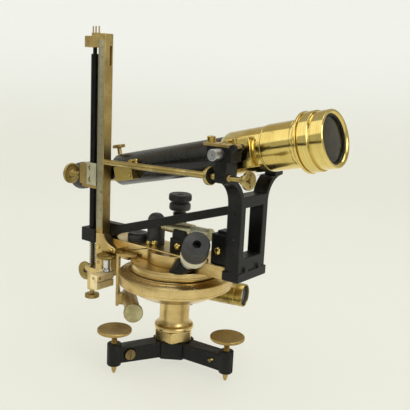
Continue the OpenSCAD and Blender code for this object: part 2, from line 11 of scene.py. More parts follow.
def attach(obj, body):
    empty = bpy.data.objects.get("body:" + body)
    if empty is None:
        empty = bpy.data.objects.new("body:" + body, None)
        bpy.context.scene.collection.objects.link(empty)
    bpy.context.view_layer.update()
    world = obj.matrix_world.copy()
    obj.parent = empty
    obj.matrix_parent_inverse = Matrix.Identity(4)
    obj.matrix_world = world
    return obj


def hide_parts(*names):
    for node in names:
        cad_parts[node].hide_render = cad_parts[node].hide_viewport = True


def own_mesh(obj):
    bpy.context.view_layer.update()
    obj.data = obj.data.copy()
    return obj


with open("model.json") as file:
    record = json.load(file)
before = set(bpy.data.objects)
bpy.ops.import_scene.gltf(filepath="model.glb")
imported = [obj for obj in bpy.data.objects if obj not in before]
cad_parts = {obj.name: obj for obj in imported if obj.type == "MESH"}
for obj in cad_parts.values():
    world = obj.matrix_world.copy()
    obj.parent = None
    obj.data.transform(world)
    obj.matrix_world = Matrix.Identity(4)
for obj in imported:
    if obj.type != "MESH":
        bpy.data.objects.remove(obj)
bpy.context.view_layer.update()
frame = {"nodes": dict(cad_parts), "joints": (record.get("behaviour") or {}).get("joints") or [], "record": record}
mm = 0.001
nodes = frame["nodes"]
joints = {joint["name"]: joint for joint in frame["joints"]}
bodyOf = {node: body for body, members in frame["record"]["behaviour"]["bodies"].items() for node in members}
print("frame:", len(nodes), "nodes")


def jointPoint(name):
    return Vector(joints[name]["pos_m"]) / mm


def jointAxis(name):
    return Vector(joints[name]["axis"]).normalized()


up = Vector((0, 0, 1))
trunnion = jointPoint("telescope_tilt")
tubeAxis = -jointAxis("ocular_slide")
tubeUp = Vector((-tubeAxis.z, 0, tubeAxis.x))
rodX, rodY = -101, -25.25
front, back, right = (0, -1, 0), (0, 1, 0), (1, 0, 0)
mergeGap, flatAngle = 0.002, 0.4


# Camera at the photograph's place: yaw, pitch and roll in degrees, lens for a 36 mm sensor
cameraView = {"place": (409.15, -493.77, 303.58), "yaw": 37.23, "pitch": 11.28, "roll": 2.75, "lens": 55.63}


def addCamera(view):
    yaw, pitch, roll = (math.radians(view[key]) for key in ("yaw", "pitch", "roll"))
    forward = Vector((-math.sin(yaw) * math.cos(pitch), math.cos(yaw) * math.cos(pitch), -math.sin(pitch)))
    right = forward.cross(up).normalized()
    top = right.cross(forward)
    rolledRight = right * math.cos(roll) + top * math.sin(roll)
    rolledTop = top * math.cos(roll) - right * math.sin(roll)
    bpy.ops.object.camera_add(location=Vector(view["place"]) * mm)
    camera = bpy.context.object
    camera.name = "photoCamera"
    turn = Matrix((rolledRight, rolledTop, -forward)).transposed().to_4x4()
    camera.matrix_world = Matrix.Translation(Vector(view["place"]) * mm) @ turn
    camera.data.sensor_width = 36
    camera.data.lens = view["lens"]
    camera.data.clip_start = 0.01
    bpy.context.scene.camera = camera


addCamera(cameraView)
print("camera placed")


# Shader sums are written as Python expressions on these wires
class Wire:
    def __init__(self, board, socket):
        self.board = board
        self.socket = socket

    def calc(self, operation, other, flipped=False):
        pair = (other, self) if flipped else (self, other)
        return self.board.add("ShaderNodeMath", {"operation": operation}, {0: pair[0], 1: pair[1]})

    def __add__(self, other):
        return self.calc("ADD", other)

    def __radd__(self, other):
        return self.calc("ADD", other, True)

    def __sub__(self, other):
        return self.calc("SUBTRACT", other)

    def __rsub__(self, other):
        return self.calc("SUBTRACT", other, True)

    def __mul__(self, other):
        return self.calc("MULTIPLY", other)

    def __rmul__(self, other):
        return self.calc("MULTIPLY", other, True)


class Board:
    def __init__(self, name, slot=None):
        self.material = bpy.data.materials.new(name)
        self.material.use_nodes = True
        self.tree = self.material.node_tree
        self.tree.nodes.clear()
        self.material["slot"] = slot or ""
        self.point = self.add("ShaderNodeTexCoord", {}, {}, "Object")

    def add(self, kind, settings=None, sockets=None, out=0):
        made = self.tree.nodes.new(kind)
        for key, value in (settings or {}).items():
            setattr(made, key, value)
        for key, value in (sockets or {}).items():
            if isinstance(value, Wire):
                self.tree.links.new(value.socket, made.inputs[key])
            else:
                made.inputs[key].default_value = value
        return Wire(self, made.outputs[out]) if made.outputs else made

    def vector(self, operation, first, second, out=0):
        return self.add("ShaderNodeVectorMath", {"operation": operation}, {0: first, 1: second}, out)

    def noise(self, scale, detail=3, roughness=0.55, distortion=0, vector=None):
        sockets = {
            "Vector": vector or self.point, "Scale": scale, "Detail": detail, "Roughness": roughness,
            "Distortion": distortion,
        }
        return self.add("ShaderNodeTexNoise", {}, sockets)

    def step(self, value, low, high):
        sockets = {"Value": value, "From Min": low, "From Max": high}
        return self.add("ShaderNodeMapRange", {"interpolation_type": "SMOOTHSTEP"}, sockets)

    def mix(self, factor, first, second, blend="MIX"):
        settings = {"data_type": "RGBA", "blend_type": blend}
        return self.add("ShaderNodeMix", settings, {0: factor, 6: first, 7: second}, 2)

    def bump(self, height, distance):
        return self.add("ShaderNodeBump", {}, {"Height": height, "Strength": 1, "Distance": distance * mm})

    def edges(self, radius, low, high):
        soft = self.add("ShaderNodeBevel", {"samples": 4}, {"Radius": radius * mm})
        true = self.add("ShaderNodeNewGeometry", {}, {}, "Normal")
        same = self.vector("DOT_PRODUCT", soft, true, "Value")
        return self.step(1 - same, low, high)

    def finish(self, sockets):
        shader = self.add("ShaderNodeBsdfPrincipled", {}, sockets)
        self.add("ShaderNodeOutputMaterial", {}, {"Surface": shader})
        return self.material


# Lines left by the lathe: one value for each place on the turned outline, the same all round the axis
def latheLines(board, axisPoint, axisDirection, linesPerMm):
    offset = board.vector("SUBTRACT", board.point, tuple(Vector(axisPoint) * mm))
    along = board.vector("DOT_PRODUCT", offset, tuple(Vector(axisDirection).normalized()), "Value")
    across = board.vector("CROSS_PRODUCT", offset, tuple(Vector(axisDirection).normalized()))
    radial = board.add("ShaderNodeVectorMath", {"operation": "LENGTH"}, {0: across}, "Value")
    scale = linesPerMm / mm
    outline = board.add("ShaderNodeCombineXYZ", {}, {"X": radial * scale, "Y": along * scale})
    return board.add("ShaderNodeTexNoise", {"noise_dimensions": "2D"}, {"Vector": outline, "Scale": 1, "Detail": 2})


# Lines left by a file or emery stick, drawn out along the axis that has the small scale
def brushLines(board, scales):
    return board.noise(1, 2, vector=board.vector("MULTIPLY", board.point, scales))


warmBrass = {
    "pale": (0.64, 0.49, 0.225, 1), "deep": (0.47, 0.335, 0.13, 1), "tarnish": (0.17, 0.115, 0.04, 1),
    "rough": 0.30, "cloud": 38, "stain": 70, "stainLow": 0.56, "stainHigh": 0.78, "stainShare": 0.55,
}
yellowBrass = {
    "pale": (0.66, 0.525, 0.185, 1), "deep": (0.52, 0.39, 0.11, 1), "tarnish": (0.17, 0.12, 0.03, 1),
    "rough": 0.13, "cloud": 30, "stain": 55, "stainLow": 0.60, "stainHigh": 0.80, "stainShare": 0.5,
}
agedBrass = {
    "pale": (0.50, 0.37, 0.15, 1), "deep": (0.35, 0.245, 0.085, 1), "tarnish": (0.11, 0.07, 0.025, 1),
    "rough": 0.36, "cloud": 45, "stain": 85, "stainLow": 0.50, "stainHigh": 0.74, "stainShare": 0.6,
}
headBrass = dict(agedBrass, pale=(0.47, 0.34, 0.13, 1), deep=(0.34, 0.235, 0.075, 1), rough=0.40)
oliveBrass = dict(agedBrass, pale=(0.40, 0.31, 0.11, 1), deep=(0.26, 0.19, 0.06, 1), rough=0.38)
stayOlive = dict(agedBrass, pale=(0.42, 0.33, 0.13, 1), deep=(0.27, 0.20, 0.065, 1), rough=0.30)
levelOlive = dict(agedBrass, pale=(0.60, 0.57, 0.38, 1), deep=(0.46, 0.42, 0.25, 1), rough=0.44)
# jaw brass painted much paler and less metallic than the other brass: painted light, the jaws' faces made bright as
# if lit from the side
jawBrassPaintedLight = dict(agedBrass, pale=(0.92, 0.78, 0.46, 1), deep=(0.76, 0.62, 0.34, 1), rough=0.46, metal=0.6)
tensionBrass = dict(agedBrass, pale=(0.22, 0.17, 0.075, 1), deep=(0.14, 0.10, 0.04, 1), rough=0.44)
springBrass = dict(agedBrass, pale=(0.30, 0.255, 0.14, 1), deep=(0.20, 0.165, 0.08, 1), rough=0.34)
oliveYellow = dict(agedBrass, pale=(0.52, 0.40, 0.13, 1), deep=(0.33, 0.24, 0.06, 1), rough=0.24)
paleBrass = dict(agedBrass, pale=(0.44, 0.40, 0.235, 1), deep=(0.31, 0.27, 0.135, 1), rough=0.42, cloud=90)


def brassFinish(name, look, axis=None, brush=None, slot="turned_brass", linesPerMm=2.2):
    board = Board(name, slot)
    cloud = board.step(board.noise(look["cloud"], 4), 0.3, 0.7)
    stain = board.step(board.noise(look["stain"], 6, 0.68, 0.6), look["stainLow"], look["stainHigh"])
    specks = board.step(board.noise(700, 2), 0.68, 0.76)
    colour = board.mix(cloud, look["pale"], look["deep"])
    colour = board.mix(stain * look["stainShare"], colour, look["tarnish"])
    colour = board.mix(specks * 0.45, colour, look["tarnish"])
    if axis:
        lines = latheLines(board, axis[0], axis[1], linesPerMm)
    else:
        lines = brushLines(board, brush or (90, 90, 2400))
    colour = board.mix(board.step(lines, 0.35, 0.75) * 0.22, colour, look["tarnish"])
    rough = cloud * 0.10 + stain * 0.16 + lines * 0.10 + (look["rough"] - 0.08)
    height = lines * 0.7 + board.noise(1500, 2) * 0.3
    return board.finish({
        "Base Color": colour, "Metallic": look.get("metal", 1) - stain * 0.15, "Roughness": rough,
        "Normal": board.bump(height, 0.012),
    })


# Black stoving varnish: slightly uneven, dusty where it faces up, rubbed to metal on its edges
blackLook = {
    "ground": (0.004, 0.0041, 0.004, 1), "faded": (0.011, 0.011, 0.0105, 1), "dust": (0.16, 0.15, 0.13, 1),
    "metal": (0.42, 0.32, 0.17, 1),
}


def japanFinish(name, look=blackLook, rough=0.36, wear=0.6, specular=0.18, relief=0.02, dusty=0.22,
                slot="black_japan"):
    board = Board(name, slot)
    cloud = board.step(board.noise(60, 5, 0.6), 0.35, 0.75)
    facing = board.add("ShaderNodeSeparateXYZ", {}, {0: board.add("ShaderNodeNewGeometry", {}, {}, "Normal")}, "Z")
    dustPatch = board.step(board.noise(160, 6, 0.7), 0.42, 0.78)
    dust = board.step(facing, 0.5, 1.0) * dustPatch * dusty
    rubbed = board.edges(0.5, 0.03, 0.22) * board.step(board.noise(240, 4, 0.65), 0.50, 0.66) * wear
    colour = board.mix(cloud, look["ground"], look["faded"])
    colour = board.mix(dust, colour, look["dust"])
    colour = board.mix(rubbed, colour, look["metal"])
    roughness = cloud * 0.12 + dust * 0.5 + (rough - 0.04) + board.noise(420, 3) * 0.08
    height = board.noise(900, 3, 0.6) * 0.5 + cloud * 0.5 - rubbed * 0.8
    return board.finish({
        "Base Color": colour, "Metallic": rubbed, "Roughness": roughness,
        "Normal": board.bump(height, relief), "Specular IOR Level": specular,
    })


def eboniteFinish(name, axisPoint, axisDirection, slot="ebonite"):
    board = Board(name, slot)
    lines = latheLines(board, axisPoint, axisDirection, 2.5)
    cloud = board.noise(80, 4)
    colour = board.mix(cloud, (0.014, 0.015, 0.017, 1), (0.032, 0.032, 0.033, 1))
    colour = board.mix(board.step(lines, 0.5, 0.8) * 0.35, colour, (0.055, 0.052, 0.048, 1))
    return board.finish({
        "Base Color": colour, "Roughness": 0.40 + cloud * 0.14 + lines * 0.08,
        "Normal": board.bump(lines, 0.02),
    })


def steelFinish(name, axisPoint, axisDirection, tone=0.42, rough=0.30, slot="steel"):
    board = Board(name, slot)
    lines = latheLines(board, axisPoint, axisDirection, 3)
    rust = board.step(board.noise(260, 5, 0.7), 0.58, 0.76)
    colour = board.mix(lines, (tone, tone * 1.01, tone * 1.03, 1), (tone * 0.7, tone * 0.71, tone * 0.72, 1))
    colour = board.mix(rust * 0.6, colour, (0.14, 0.105, 0.075, 1))
    return board.finish({
        "Base Color": colour, "Metallic": 1 - rust * 0.3, "Roughness": rough + lines * 0.12 + rust * 0.2,
        "Normal": board.bump(lines, 0.012),
    })


# Silvered scale metal gone grey-green
def silverFinish(name, tone=(0.47, 0.46, 0.33, 1), dull=(0.30, 0.29, 0.19, 1), brush=(300, 300, 30), metal=0.75,
                 slot="silvered"):
    board = Board(name, slot)
    lines = brushLines(board, brush)
    stain = board.step(board.noise(75, 6, 0.7, 0.5), 0.42, 0.75)
    colour = board.mix(stain * 0.7, tone, dull)
    colour = board.mix(board.step(lines, 0.4, 0.8) * 0.3, colour, dull)
    return board.finish({
        "Base Color": colour, "Metallic": metal - stain * 0.15, "Roughness": 0.42 + stain * 0.14,
        "Normal": board.bump(lines, 0.008),
    })


def darkFinish(name, colour=(0.006, 0.005, 0.004, 1), rough=0.6, slot="black_japan"):
    board = Board(name, slot)
    grain = board.noise(500, 3)
    tone = board.mix(grain, colour, tuple(value * 2.2 for value in colour[:3]) + (1,))
    return board.finish({"Base Color": tone, "Roughness": rough + grain * 0.15})


def glassFinish(name, colour, edge, rough=0.05, slot="lens_glass", coat=0.8, specular=0.7):
    board = Board(name, slot)
    haze = board.step(board.noise(90, 4, 0.6, 1.2), 0.35, 0.8)
    tone = board.mix(haze, colour, edge)
    return board.finish({
        "Base Color": tone, "Roughness": haze * 0.10 + rough, "Coat Weight": coat, "Coat Roughness": 0.03,
        "Specular IOR Level": specular,
    })


mainAxis = ((0, 0, 0), up)
tubeLook = dict(blackLook, ground=(0.0028, 0.0028, 0.0026, 1), faded=(0.007, 0.0068, 0.006, 1))
finishes = {name: brassFinish(name, look, brush=brush, slot=slot) for name, look, brush, slot in (
    ("castBrass", warmBrass, (1600, 60, 60), "turned_brass"),
    ("jawBrassPaintedLight", jawBrassPaintedLight, (900, 60, 900), "turned_brass"),
    ("tensionBrass", tensionBrass, (300, 300, 300), "aged_brass"),
    ("barBrass", warmBrass, (60, 1500, 1500), "turned_brass"),
    ("columnBrass", agedBrass, (1800, 1800, 45), "aged_brass"),
    ("agedBrass", agedBrass, (900, 900, 90), "aged_brass"),
    ("yellowBrass", yellowBrass, (900, 90, 900), "bright_brass"),
    ("boxBrass", dict(yellowBrass, rough=0.26), (300, 300, 300), "turned_brass"),
    ("stayBrass", stayOlive, (60, 700, 700), "aged_brass"),
)}
finishes.update({
    "limbBrass": brassFinish("limbBrass", warmBrass, mainAxis, linesPerMm=1.6),
    "plateBrass": brassFinish("plateBrass", warmBrass, mainAxis, linesPerMm=1.6),
    "springBrass": brassFinish("springBrass", springBrass, ((rodX, rodY, 0), up), slot="aged_brass"),
    "black": japanFinish("black"),
    "blackTube": japanFinish("blackTube", tubeLook, rough=0.24, wear=0, specular=0.28, relief=0.004, dusty=0.03),
    "rodBlack": japanFinish("rodBlack", tubeLook, rough=0.30, wear=0, specular=0.16, relief=0.01, dusty=0.03),
    # near-black: painted shade inside holes, slots and hollows, also the dark seam line of the sleeve
    "recessShade": darkFinish("recessShade"),
    "engraving": darkFinish("engraving", (0.02, 0.018, 0.014, 1), 0.7),
    "silver": silverFinish("silver"),
    "scaleSilver": silverFinish(
        "scaleSilver", (0.30, 0.275, 0.175, 1), (0.19, 0.165, 0.09, 1), (260, 260, 12), 0.8, "aged_brass"),
    "ivory": silverFinish("ivory", (0.74, 0.71, 0.56, 1), (0.50, 0.46, 0.32, 1), (60, 60, 60), 0.15),
    "lens": glassFinish("lens", (0.012, 0.010, 0.005, 1), (0.036, 0.029, 0.014, 1), 0.05, coat=0.12, specular=0.2),
})
print("finishes made")


# Modelling helpers: all take and give sizes in millimetres
def onlySelect(*objects):
    if bpy.context.mode != "OBJECT":
        bpy.ops.object.mode_set(mode="OBJECT")
    bpy.ops.object.select_all(action="DESELECT")
    for item in objects:
        item.select_set(True)
    if objects:
        bpy.context.view_layer.objects.active = objects[0]


def fresh(operator, name, **options):
    onlySelect()
    operator(**options)
    bpy.context.object.name = name
    return bpy.context.object


def shifted(x, y, z):
    return Matrix.Translation(Vector((x, y, z)) * mm)


def turned(degrees, axis="Z"):
    return Matrix.Rotation(math.radians(degrees), 4, axis)


# A point at an angle about Z
def polar(degrees, radius=1, height=0):
    return Vector((radius * math.cos(math.radians(degrees)), radius * math.sin(math.radians(degrees)), height))


def axisPlace(point, direction=(0, 0, 1), xHint=(1, 0, 0)):
    z = Vector(direction).normalized()
    x = Vector(xHint) - z * Vector(xHint).dot(z)
    x = x.normalized() if x.length > 0.001 else z.orthogonal().normalized()
    turn = Matrix((x, z.cross(x), z)).transposed().to_4x4()
    return Matrix.Translation(Vector(point) * mm) @ turn


def settle(obj, place=None):
    onlySelect(obj)
    bpy.context.view_layer.update()
    if place is not None:
        obj.matrix_world = place @ obj.matrix_world
    bpy.ops.object.transform_apply(location=True, rotation=True, scale=True)
    return obj


def smooth(obj, angle=30):
    onlySelect(obj)
    bpy.ops.object.shade_smooth_by_angle(angle=math.radians(angle))
    return obj


def editAll(obj):
    onlySelect(obj)
    bpy.ops.object.mode_set(mode="EDIT")
    bpy.ops.mesh.select_all(action="SELECT")


def leaveEdit():
    bpy.ops.object.mode_set(mode="OBJECT")


def closeMesh(obj):
    editAll(obj)
    bpy.ops.mesh.remove_doubles(threshold=mergeGap * mm)
    bpy.ops.mesh.normals_make_consistent(inside=False)
    leaveEdit()
    return obj


def modify(obj, kind, **settings):
    onlySelect(obj)
    made = obj.modifiers.new("shaping", kind)
    for key, value in settings.items():
        setattr(made, key, value)
    bpy.ops.object.modifier_apply(modifier="shaping")
    return obj


# Presses a row of notches into the rim of a turned piece, between two heights
def millRim(obj, low, high, depth, margin):
    editAll(obj)
    bpy.ops.mesh.select_mode(type="FACE")
    bpy.ops.mesh.select_all(action="DESELECT")
    mesh = bmesh.from_edit_mesh(obj.data)
    for face in mesh.faces:
        centre = face.calc_center_median()
        outward = face.normal.x * centre.x + face.normal.y * centre.y
        face.select_set(low * mm < centre.z < high * mm and abs(face.normal.z) < 0.3 and outward > 0)
    bmesh.update_edit_mesh(obj.data)
    bpy.ops.mesh.inset(thickness=margin * mm, depth=-depth * mm, use_individual=True)
    bpy.ops.mesh.select_mode(type="VERT")
    leaveEdit()


# A lathe piece: a circle is extruded and scaled from ring to ring, each ring as (radius, height)
def turnedPiece(name, rings, place=None, sides=72, bore=False, mill=None, angle=28):
    radius, height = rings[0]
    obj = fresh(bpy.ops.mesh.primitive_circle_add, name, vertices=sides, radius=radius * mm,
                location=(0, 0, height * mm), fill_type="NOTHING" if bore else "NGON")
    editAll(obj)
    for nextRadius, nextHeight in rings[1:] + (rings[:1] if bore else []):
        rise = (0, 0, (nextHeight - height) * mm)
        bpy.ops.mesh.extrude_region_move(TRANSFORM_OT_translate={"value": rise})
        share = nextRadius / radius
        bpy.ops.transform.resize(value=(share, share, 1), center_override=(0, 0, nextHeight * mm))
        radius, height = nextRadius, nextHeight
    leaveEdit()
    settle(obj)
    closeMesh(obj)
    if mill:
        millRim(obj, *mill)
    settle(obj, place)
    return smooth(obj, angle)


# A block between two corners, its edges rounded
def blockPiece(name, low, high, place=None, edge=0.4, segments=2):
    low, high = Vector(low), Vector(high)
    obj = fresh(bpy.ops.mesh.primitive_cube_add, name, size=1, location=(low + high) / 2 * mm)
    obj.scale = (high - low) * mm
    settle(obj)
    bevelEdges(obj, edge, segments)
    settle(obj, place)
    return smooth(obj)


def bevelEdges(obj, width, segments=2, angle=32):
    modify(obj, "BEVEL", width=width * mm, segments=segments, limit_method="ANGLE", angle_limit=math.radians(angle),
        use_clamp_overlap=False)


def cutOut(obj, *cutters):
    for cutter in cutters:
        modify(obj, "BOOLEAN", operation="DIFFERENCE", solver="EXACT", object=cutter)
        bpy.data.objects.remove(cutter)
    return smooth(obj)


# A merged copy of a CAD node with its edges eased
def easedCopy(node, width=0.45, segments=2, angle=32, cutters=()):
    onlySelect()
    obj = bpy.data.objects.new(node + "Eased", nodes[node].data.copy())
    bpy.context.scene.collection.objects.link(obj)
    editAll(obj)
    bpy.ops.mesh.remove_doubles(threshold=mergeGap * mm)
    bpy.ops.mesh.dissolve_limited(angle_limit=math.radians(flatAngle))
    leaveEdit()
    cutOut(obj, *cutters)
    if width:
        bevelEdges(obj, width, segments, angle)
    return smooth(obj)


def copyTo(template, name, place):
    obj = bpy.data.objects.new(name, template.data.copy())
    bpy.context.scene.collection.objects.link(obj)
    obj.matrix_world = place
    return settle(obj)


def joinPieces(name, pieces):
    onlySelect(*pieces)
    bpy.ops.object.join()
    obj = bpy.context.object
    obj.name = name
    return obj


def dress(obj, material, body, stands=()):
    obj.data.materials.clear()
    obj.data.materials.append(material)
    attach(obj, body)
    if stands:
        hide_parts(*stands)
    return obj


def dressEased(node, material, width=0.45, segments=2, angle=32):
    return dress(easedCopy(node, width, segments, angle), material, bodyOf[node], [node])


# Finish of a turned piece: lathe lines run round its own axis
def lathed(look, place, slot="aged_brass", lines=2.2, name="turned"):
    return brassFinish(name, look, (place.translation / mm, place.to_3x3().col[2]), slot=slot, linesPerMm=lines)


# A turned piece takes a finish, or a brass look that is lathed round its axis
def turn(name, rings, place, finish, body, stands=(), **options):
    material = lathed(finish, place) if isinstance(finish, dict) else finish
    return dress(turnedPiece(name, rings, place, **options), material, body, stands)


# Screw heads, each modelled once at the origin with its slot along X, for a radius of 1 mm
def slottedHead(name, outline, slotWidth, slotDepth):
    head = turnedPiece(name, outline, sides=40)
    top = max(height for radius, height in outline)
    cutter = blockPiece("cutter", (-2, -slotWidth / 2, top - slotDepth), (2, slotWidth / 2, top + 1), edge=0.01)
    return cutOut(head, cutter)


templates = {
    "cheese": slottedHead("cheese", [(1, 0), (1, 0.72), (0.92, 0.82), (0.3, 0.84)], 0.24, 0.42),
    "round": slottedHead("round", [(1, 0), (0.98, 0.25), (0.84, 0.55), (0.55, 0.78), (0.2, 0.87)], 0.22, 0.45),
    "flat": slottedHead("flat", [(1, 0), (1, 0.16), (0.95, 0.22), (0.3, 0.24)], 0.22, 0.16),
    "ball": turnedPiece("ball", [
        (0.9, 0), (0.9, 0.25), (0.55, 0.4), (0.5, 0.75), (0.72, 0.95), (0.9, 1.3), (0.9, 1.7), (0.72, 2.1),
        (0.45, 2.3), (0.15, 2.36)], sides=36),
}
screwMetal = {"brass": finishes["agedBrass"], "bright": finishes["yellowBrass"], "black": finishes["black"]}


def addScrew(name, kind, radius, point, direction, metal, body, angle=0):
    place = axisPlace(point, direction) @ turned(angle) @ Matrix.Scale(radius, 4)
    return dress(smooth(copyTo(templates[kind], name, place)), screwMetal[metal], body)


# A hole drawn as a shallow near-black disc set in a face: painted shade of its inside
def addHole(name, radius, point, direction, body):
    return turn(name, [(radius, -0.25), (radius, 0.04), (0.2, 0.05)], axisPlace(point, direction), finishes["recessShade"],
        body, sides=24)


# Text as thin raised figures
def figure(name, text, size, place, depth=0.06):
    obj = fresh(bpy.ops.object.text_add, name)
    obj.data.body = text
    obj.data.size = size * mm
    obj.data.extrude = depth / 2 * mm
    obj.data.align_x = "CENTER"
    obj.data.align_y = "CENTER"
    obj.data.resolution_u = 2
    onlySelect(obj)
    bpy.ops.object.convert(target="MESH")
    return settle(bpy.context.object, place)


# One graduation line, long in X, thin in Y, standing a little out of its face
def graduation(length, width, depth, place=None):
    obj = fresh(bpy.ops.mesh.primitive_cube_add, "graduation", size=1)
    obj.scale = (length * mm, width * mm, depth * mm)
    settle(obj)
    return settle(obj, place)


def repeated(obj, count, offset):
    return modify(obj, "ARRAY", count=count, use_relative_offset=False, use_constant_offset=True,
        constant_offset_displace=Vector(offset) * mm)


def ringOf(obj, count):
    editAll(obj)
    bpy.ops.mesh.spin(steps=count - 1, dupli=True, angle=2 * math.pi * (count - 1) / count, center=(0, 0, 0),
        axis=(0, 0, 1))
    leaveEdit()
    return closeMesh(obj)


print("templates modelled")

# Base: tribrach, tension screws, foot screws, socket
footScrew = {"headRadius": 17.6, "headLow": 45.5, "headHigh": 48.9, "threadFrom": 33.4, "threadTo": 42, "pitch": 0.9}


def footOutline(look):
    rings = [(0.5, 0), (1.5, 0.8), (1.8, 2.4), (2.5, 3.6), (2.6, 6)]
    rings += [(2.95, 6.2), (2.95, look["threadFrom"])]
    z = look["threadFrom"]
    while z < look["threadTo"]:
        rings += [(2.55, z + look["pitch"] * 0.5), (2.95, z + look["pitch"])]
        z += look["pitch"]
    low, high, radius = look["headLow"], look["headHigh"], look["headRadius"]
    rings += [(2.6, z + 0.4), (2.6, low - 0.9), (4.6, low - 0.6), (5, low), (radius - 0.7, low), (radius, low + 0.7)]
    rings += [(radius, high - 0.7), (radius - 0.25, high - 0.3), (radius - 0.8, high), (radius - 1.4, high)]
    rings += [(radius - 2.0, high - 0.12), (3.2, high - 0.12), (3.0, high - 0.3), (0.4, high - 0.3)]
    return rings


footMilling = (footScrew["headLow"] + 0.8, footScrew["headHigh"] - 0.8, 0.22, 0.14)
footModel = turnedPiece("footModel", footOutline(footScrew), sides=110, mill=footMilling)
for side in ("left", "right", "rear"):
    place = jointPoint(f"foot_{side}_turn")
    place.z = 0
    material = lathed(headBrass, axisPlace(place), "turned_brass", 1.3, f"footBrass{side.title()}")
    piece = copyTo(footModel, f"footScrew{side.title()}", axisPlace(place))
    dress(smooth(piece), material, f"foot_{side}", [f"foot_screw_{side}"])
    dressEased(f"tension_screw_{side}", finishes["tensionBrass"], 0.25)
bpy.data.objects.remove(footModel)
dressEased("tribrach", finishes["black"], 0.7, 3)

socketLook = {"radius": 15.8, "bead": 20.9, "flangeTop": 41.5, "hubTop": 30, "corner": 21.6,
              "screwAngle": math.degrees(-0.9)}


def addSocket(look):
    r, bead, low = look["radius"], look["bead"], look["flangeTop"]
    outline = [(11.2, low + 0.2), (bead - 2.5, low + 0.2), (bead - 2.4, low + 0.5), (bead - 0.9, low + 0.5),
        (bead - 0.2, low + 1.0), (bead, low + 1.9), (bead, low + 3.1), (bead - 0.35, low + 4.2),
        (bead - 1.3, low + 5.2), (r + 2.6, low + 5.7), (r + 2.2, low + 6.1), (r + 1.5, low + 7.1),
        (r + 0.8, low + 8.4), (r + 0.3, low + 9.8), (r, low + 11.5), (r, 73.8), (r + 0.3, 74.3), (r + 1.4, 74.6),
        (r + 1.4, 79.2), (r + 1.0, 79.6), (11.2, 79.6)]
    turn("socketBarrel", outline, None, finishes["limbBrass"], "base", sides=110, bore=True)
    face = Vector(joints["foot_left_turn"]["pos_m"])
    place = axisPlace((0, 0, 0), up, (face.x, face.y, 0)) @ turned(30)
    nut = turnedPiece("socketFlange", [(look["corner"], look["hubTop"]), (look["corner"], low)], place, sides=6)
    bevelEdges(nut, 0.9, 3)
    dress(smooth(nut), finishes["limbBrass"], "base", ["socket"])
    angle = look["screwAngle"]
    addScrew("socketSetScrew", "flat", 2.2, polar(angle, 15.7, 77), polar(angle), "brass", "base")


addSocket(socketLook)
print("base dressed")

# Limb and alidade plate
limbLook = {"radius": 60, "low": 91.7, "high": 103.1, "plate": 48, "plateLow": 106.6, "plateHigh": 115,
    "markRadius": 55.2, "markHeight": 104.03, "slope": 16, "degreeMarks": 360}


def addLimb(look):
    r, low, high, plate = look["radius"], look["low"], look["high"], look["plate"]
    outline = [(7.3, 46), (10.8, 46), (10.8, 80.2), (38.5, 80.2), (40, 80.6), (41.5, 81.6), (r - 4.2, low - 1.5),
        (r - 3.4, low - 1.5), (r - 3.2, low - 0.6), (r - 0.9, low), (r - 0.3, low + 0.3), (r, low + 0.9),
        (r, low + 1.7), (r - 0.25, low + 1.9), (r - 0.25, low + 2.2), (r, low + 2.4), (r, high - 1.2),
        (r - 0.2, high - 0.5), (r - 0.8, high - 0.05), (r - 1.6, high + 0.1), (r - 2.0, high - 0.05),
        (r - 2.4, high + 0.2), (r - 6.6, high + 1.4), (r - 6.8, high + 1.25), (r - 7.2, high + 1.55),
        (plate + 1.6, high + 2.5), (plate + 1.1, high + 2.4), (plate + 0.7, high + 2.7), (plate + 0.7, 105.8),
        (7.3, 105.8)]
    turn("limbDisc", outline, None, finishes["limbBrass"], "limb", ["limb"], sides=160, bore=True)
    lean = turned(look["slope"], "Y")
    lines = []
    for length, width, every in ((1.3, 0.10, 1), (2.0, 0.12, 5), (2.8, 0.14, 10)):
        middle = look["markRadius"] + 2.4 - length / 2
        height = look["markHeight"] - (middle - look["markRadius"]) * math.tan(math.radians(look["slope"]))
        place = shifted(middle, 0, height + 0.02) @ lean
        lines.append(ringOf(graduation(length, width, 0.06, place), look["degreeMarks"] // every))
    for tens in range(36):
        seat = shifted(look["markRadius"] - 1.9, 0, look["markHeight"] + 0.58)
        lines.append(figure("limbFigure", str(tens * 10), 1.5, turned(-10 * tens) @ seat @ lean @ turned(90)))
    dress(joinPieces("limbGraduations", lines), finishes["engraving"], "limb")


addLimb(limbLook)


def addPlate(look):
    r, low, high = look["plate"], look["plateLow"], look["plateHigh"]
    outline = [(6.9, 46.2), (6.9, low), (r - 0.9, low), (r - 0.2, low + 0.3), (r, low + 0.9), (r, low + 3.2),
        (r - 0.5, low + 3.5), (r - 0.5, low + 3.9), (r, low + 4.2), (r, high - 1.1), (r - 0.3, high - 0.4),
        (r - 1.0, high), (r - 2.2, high), (1, high)]
    turn("alidadeDisc", outline, None, finishes["plateBrass"], "alidade", ["alidade_plate"], sides=150)
    for number, angle in enumerate((20, 165, 232, 300)):
        addScrew(f"plateScrew{number}", "flat", 2.1, polar(angle, 40.5, high - 0.05), up, "brass", "alidade",
            angle * 2)


addPlate(limbLook)
print("circle dressed")

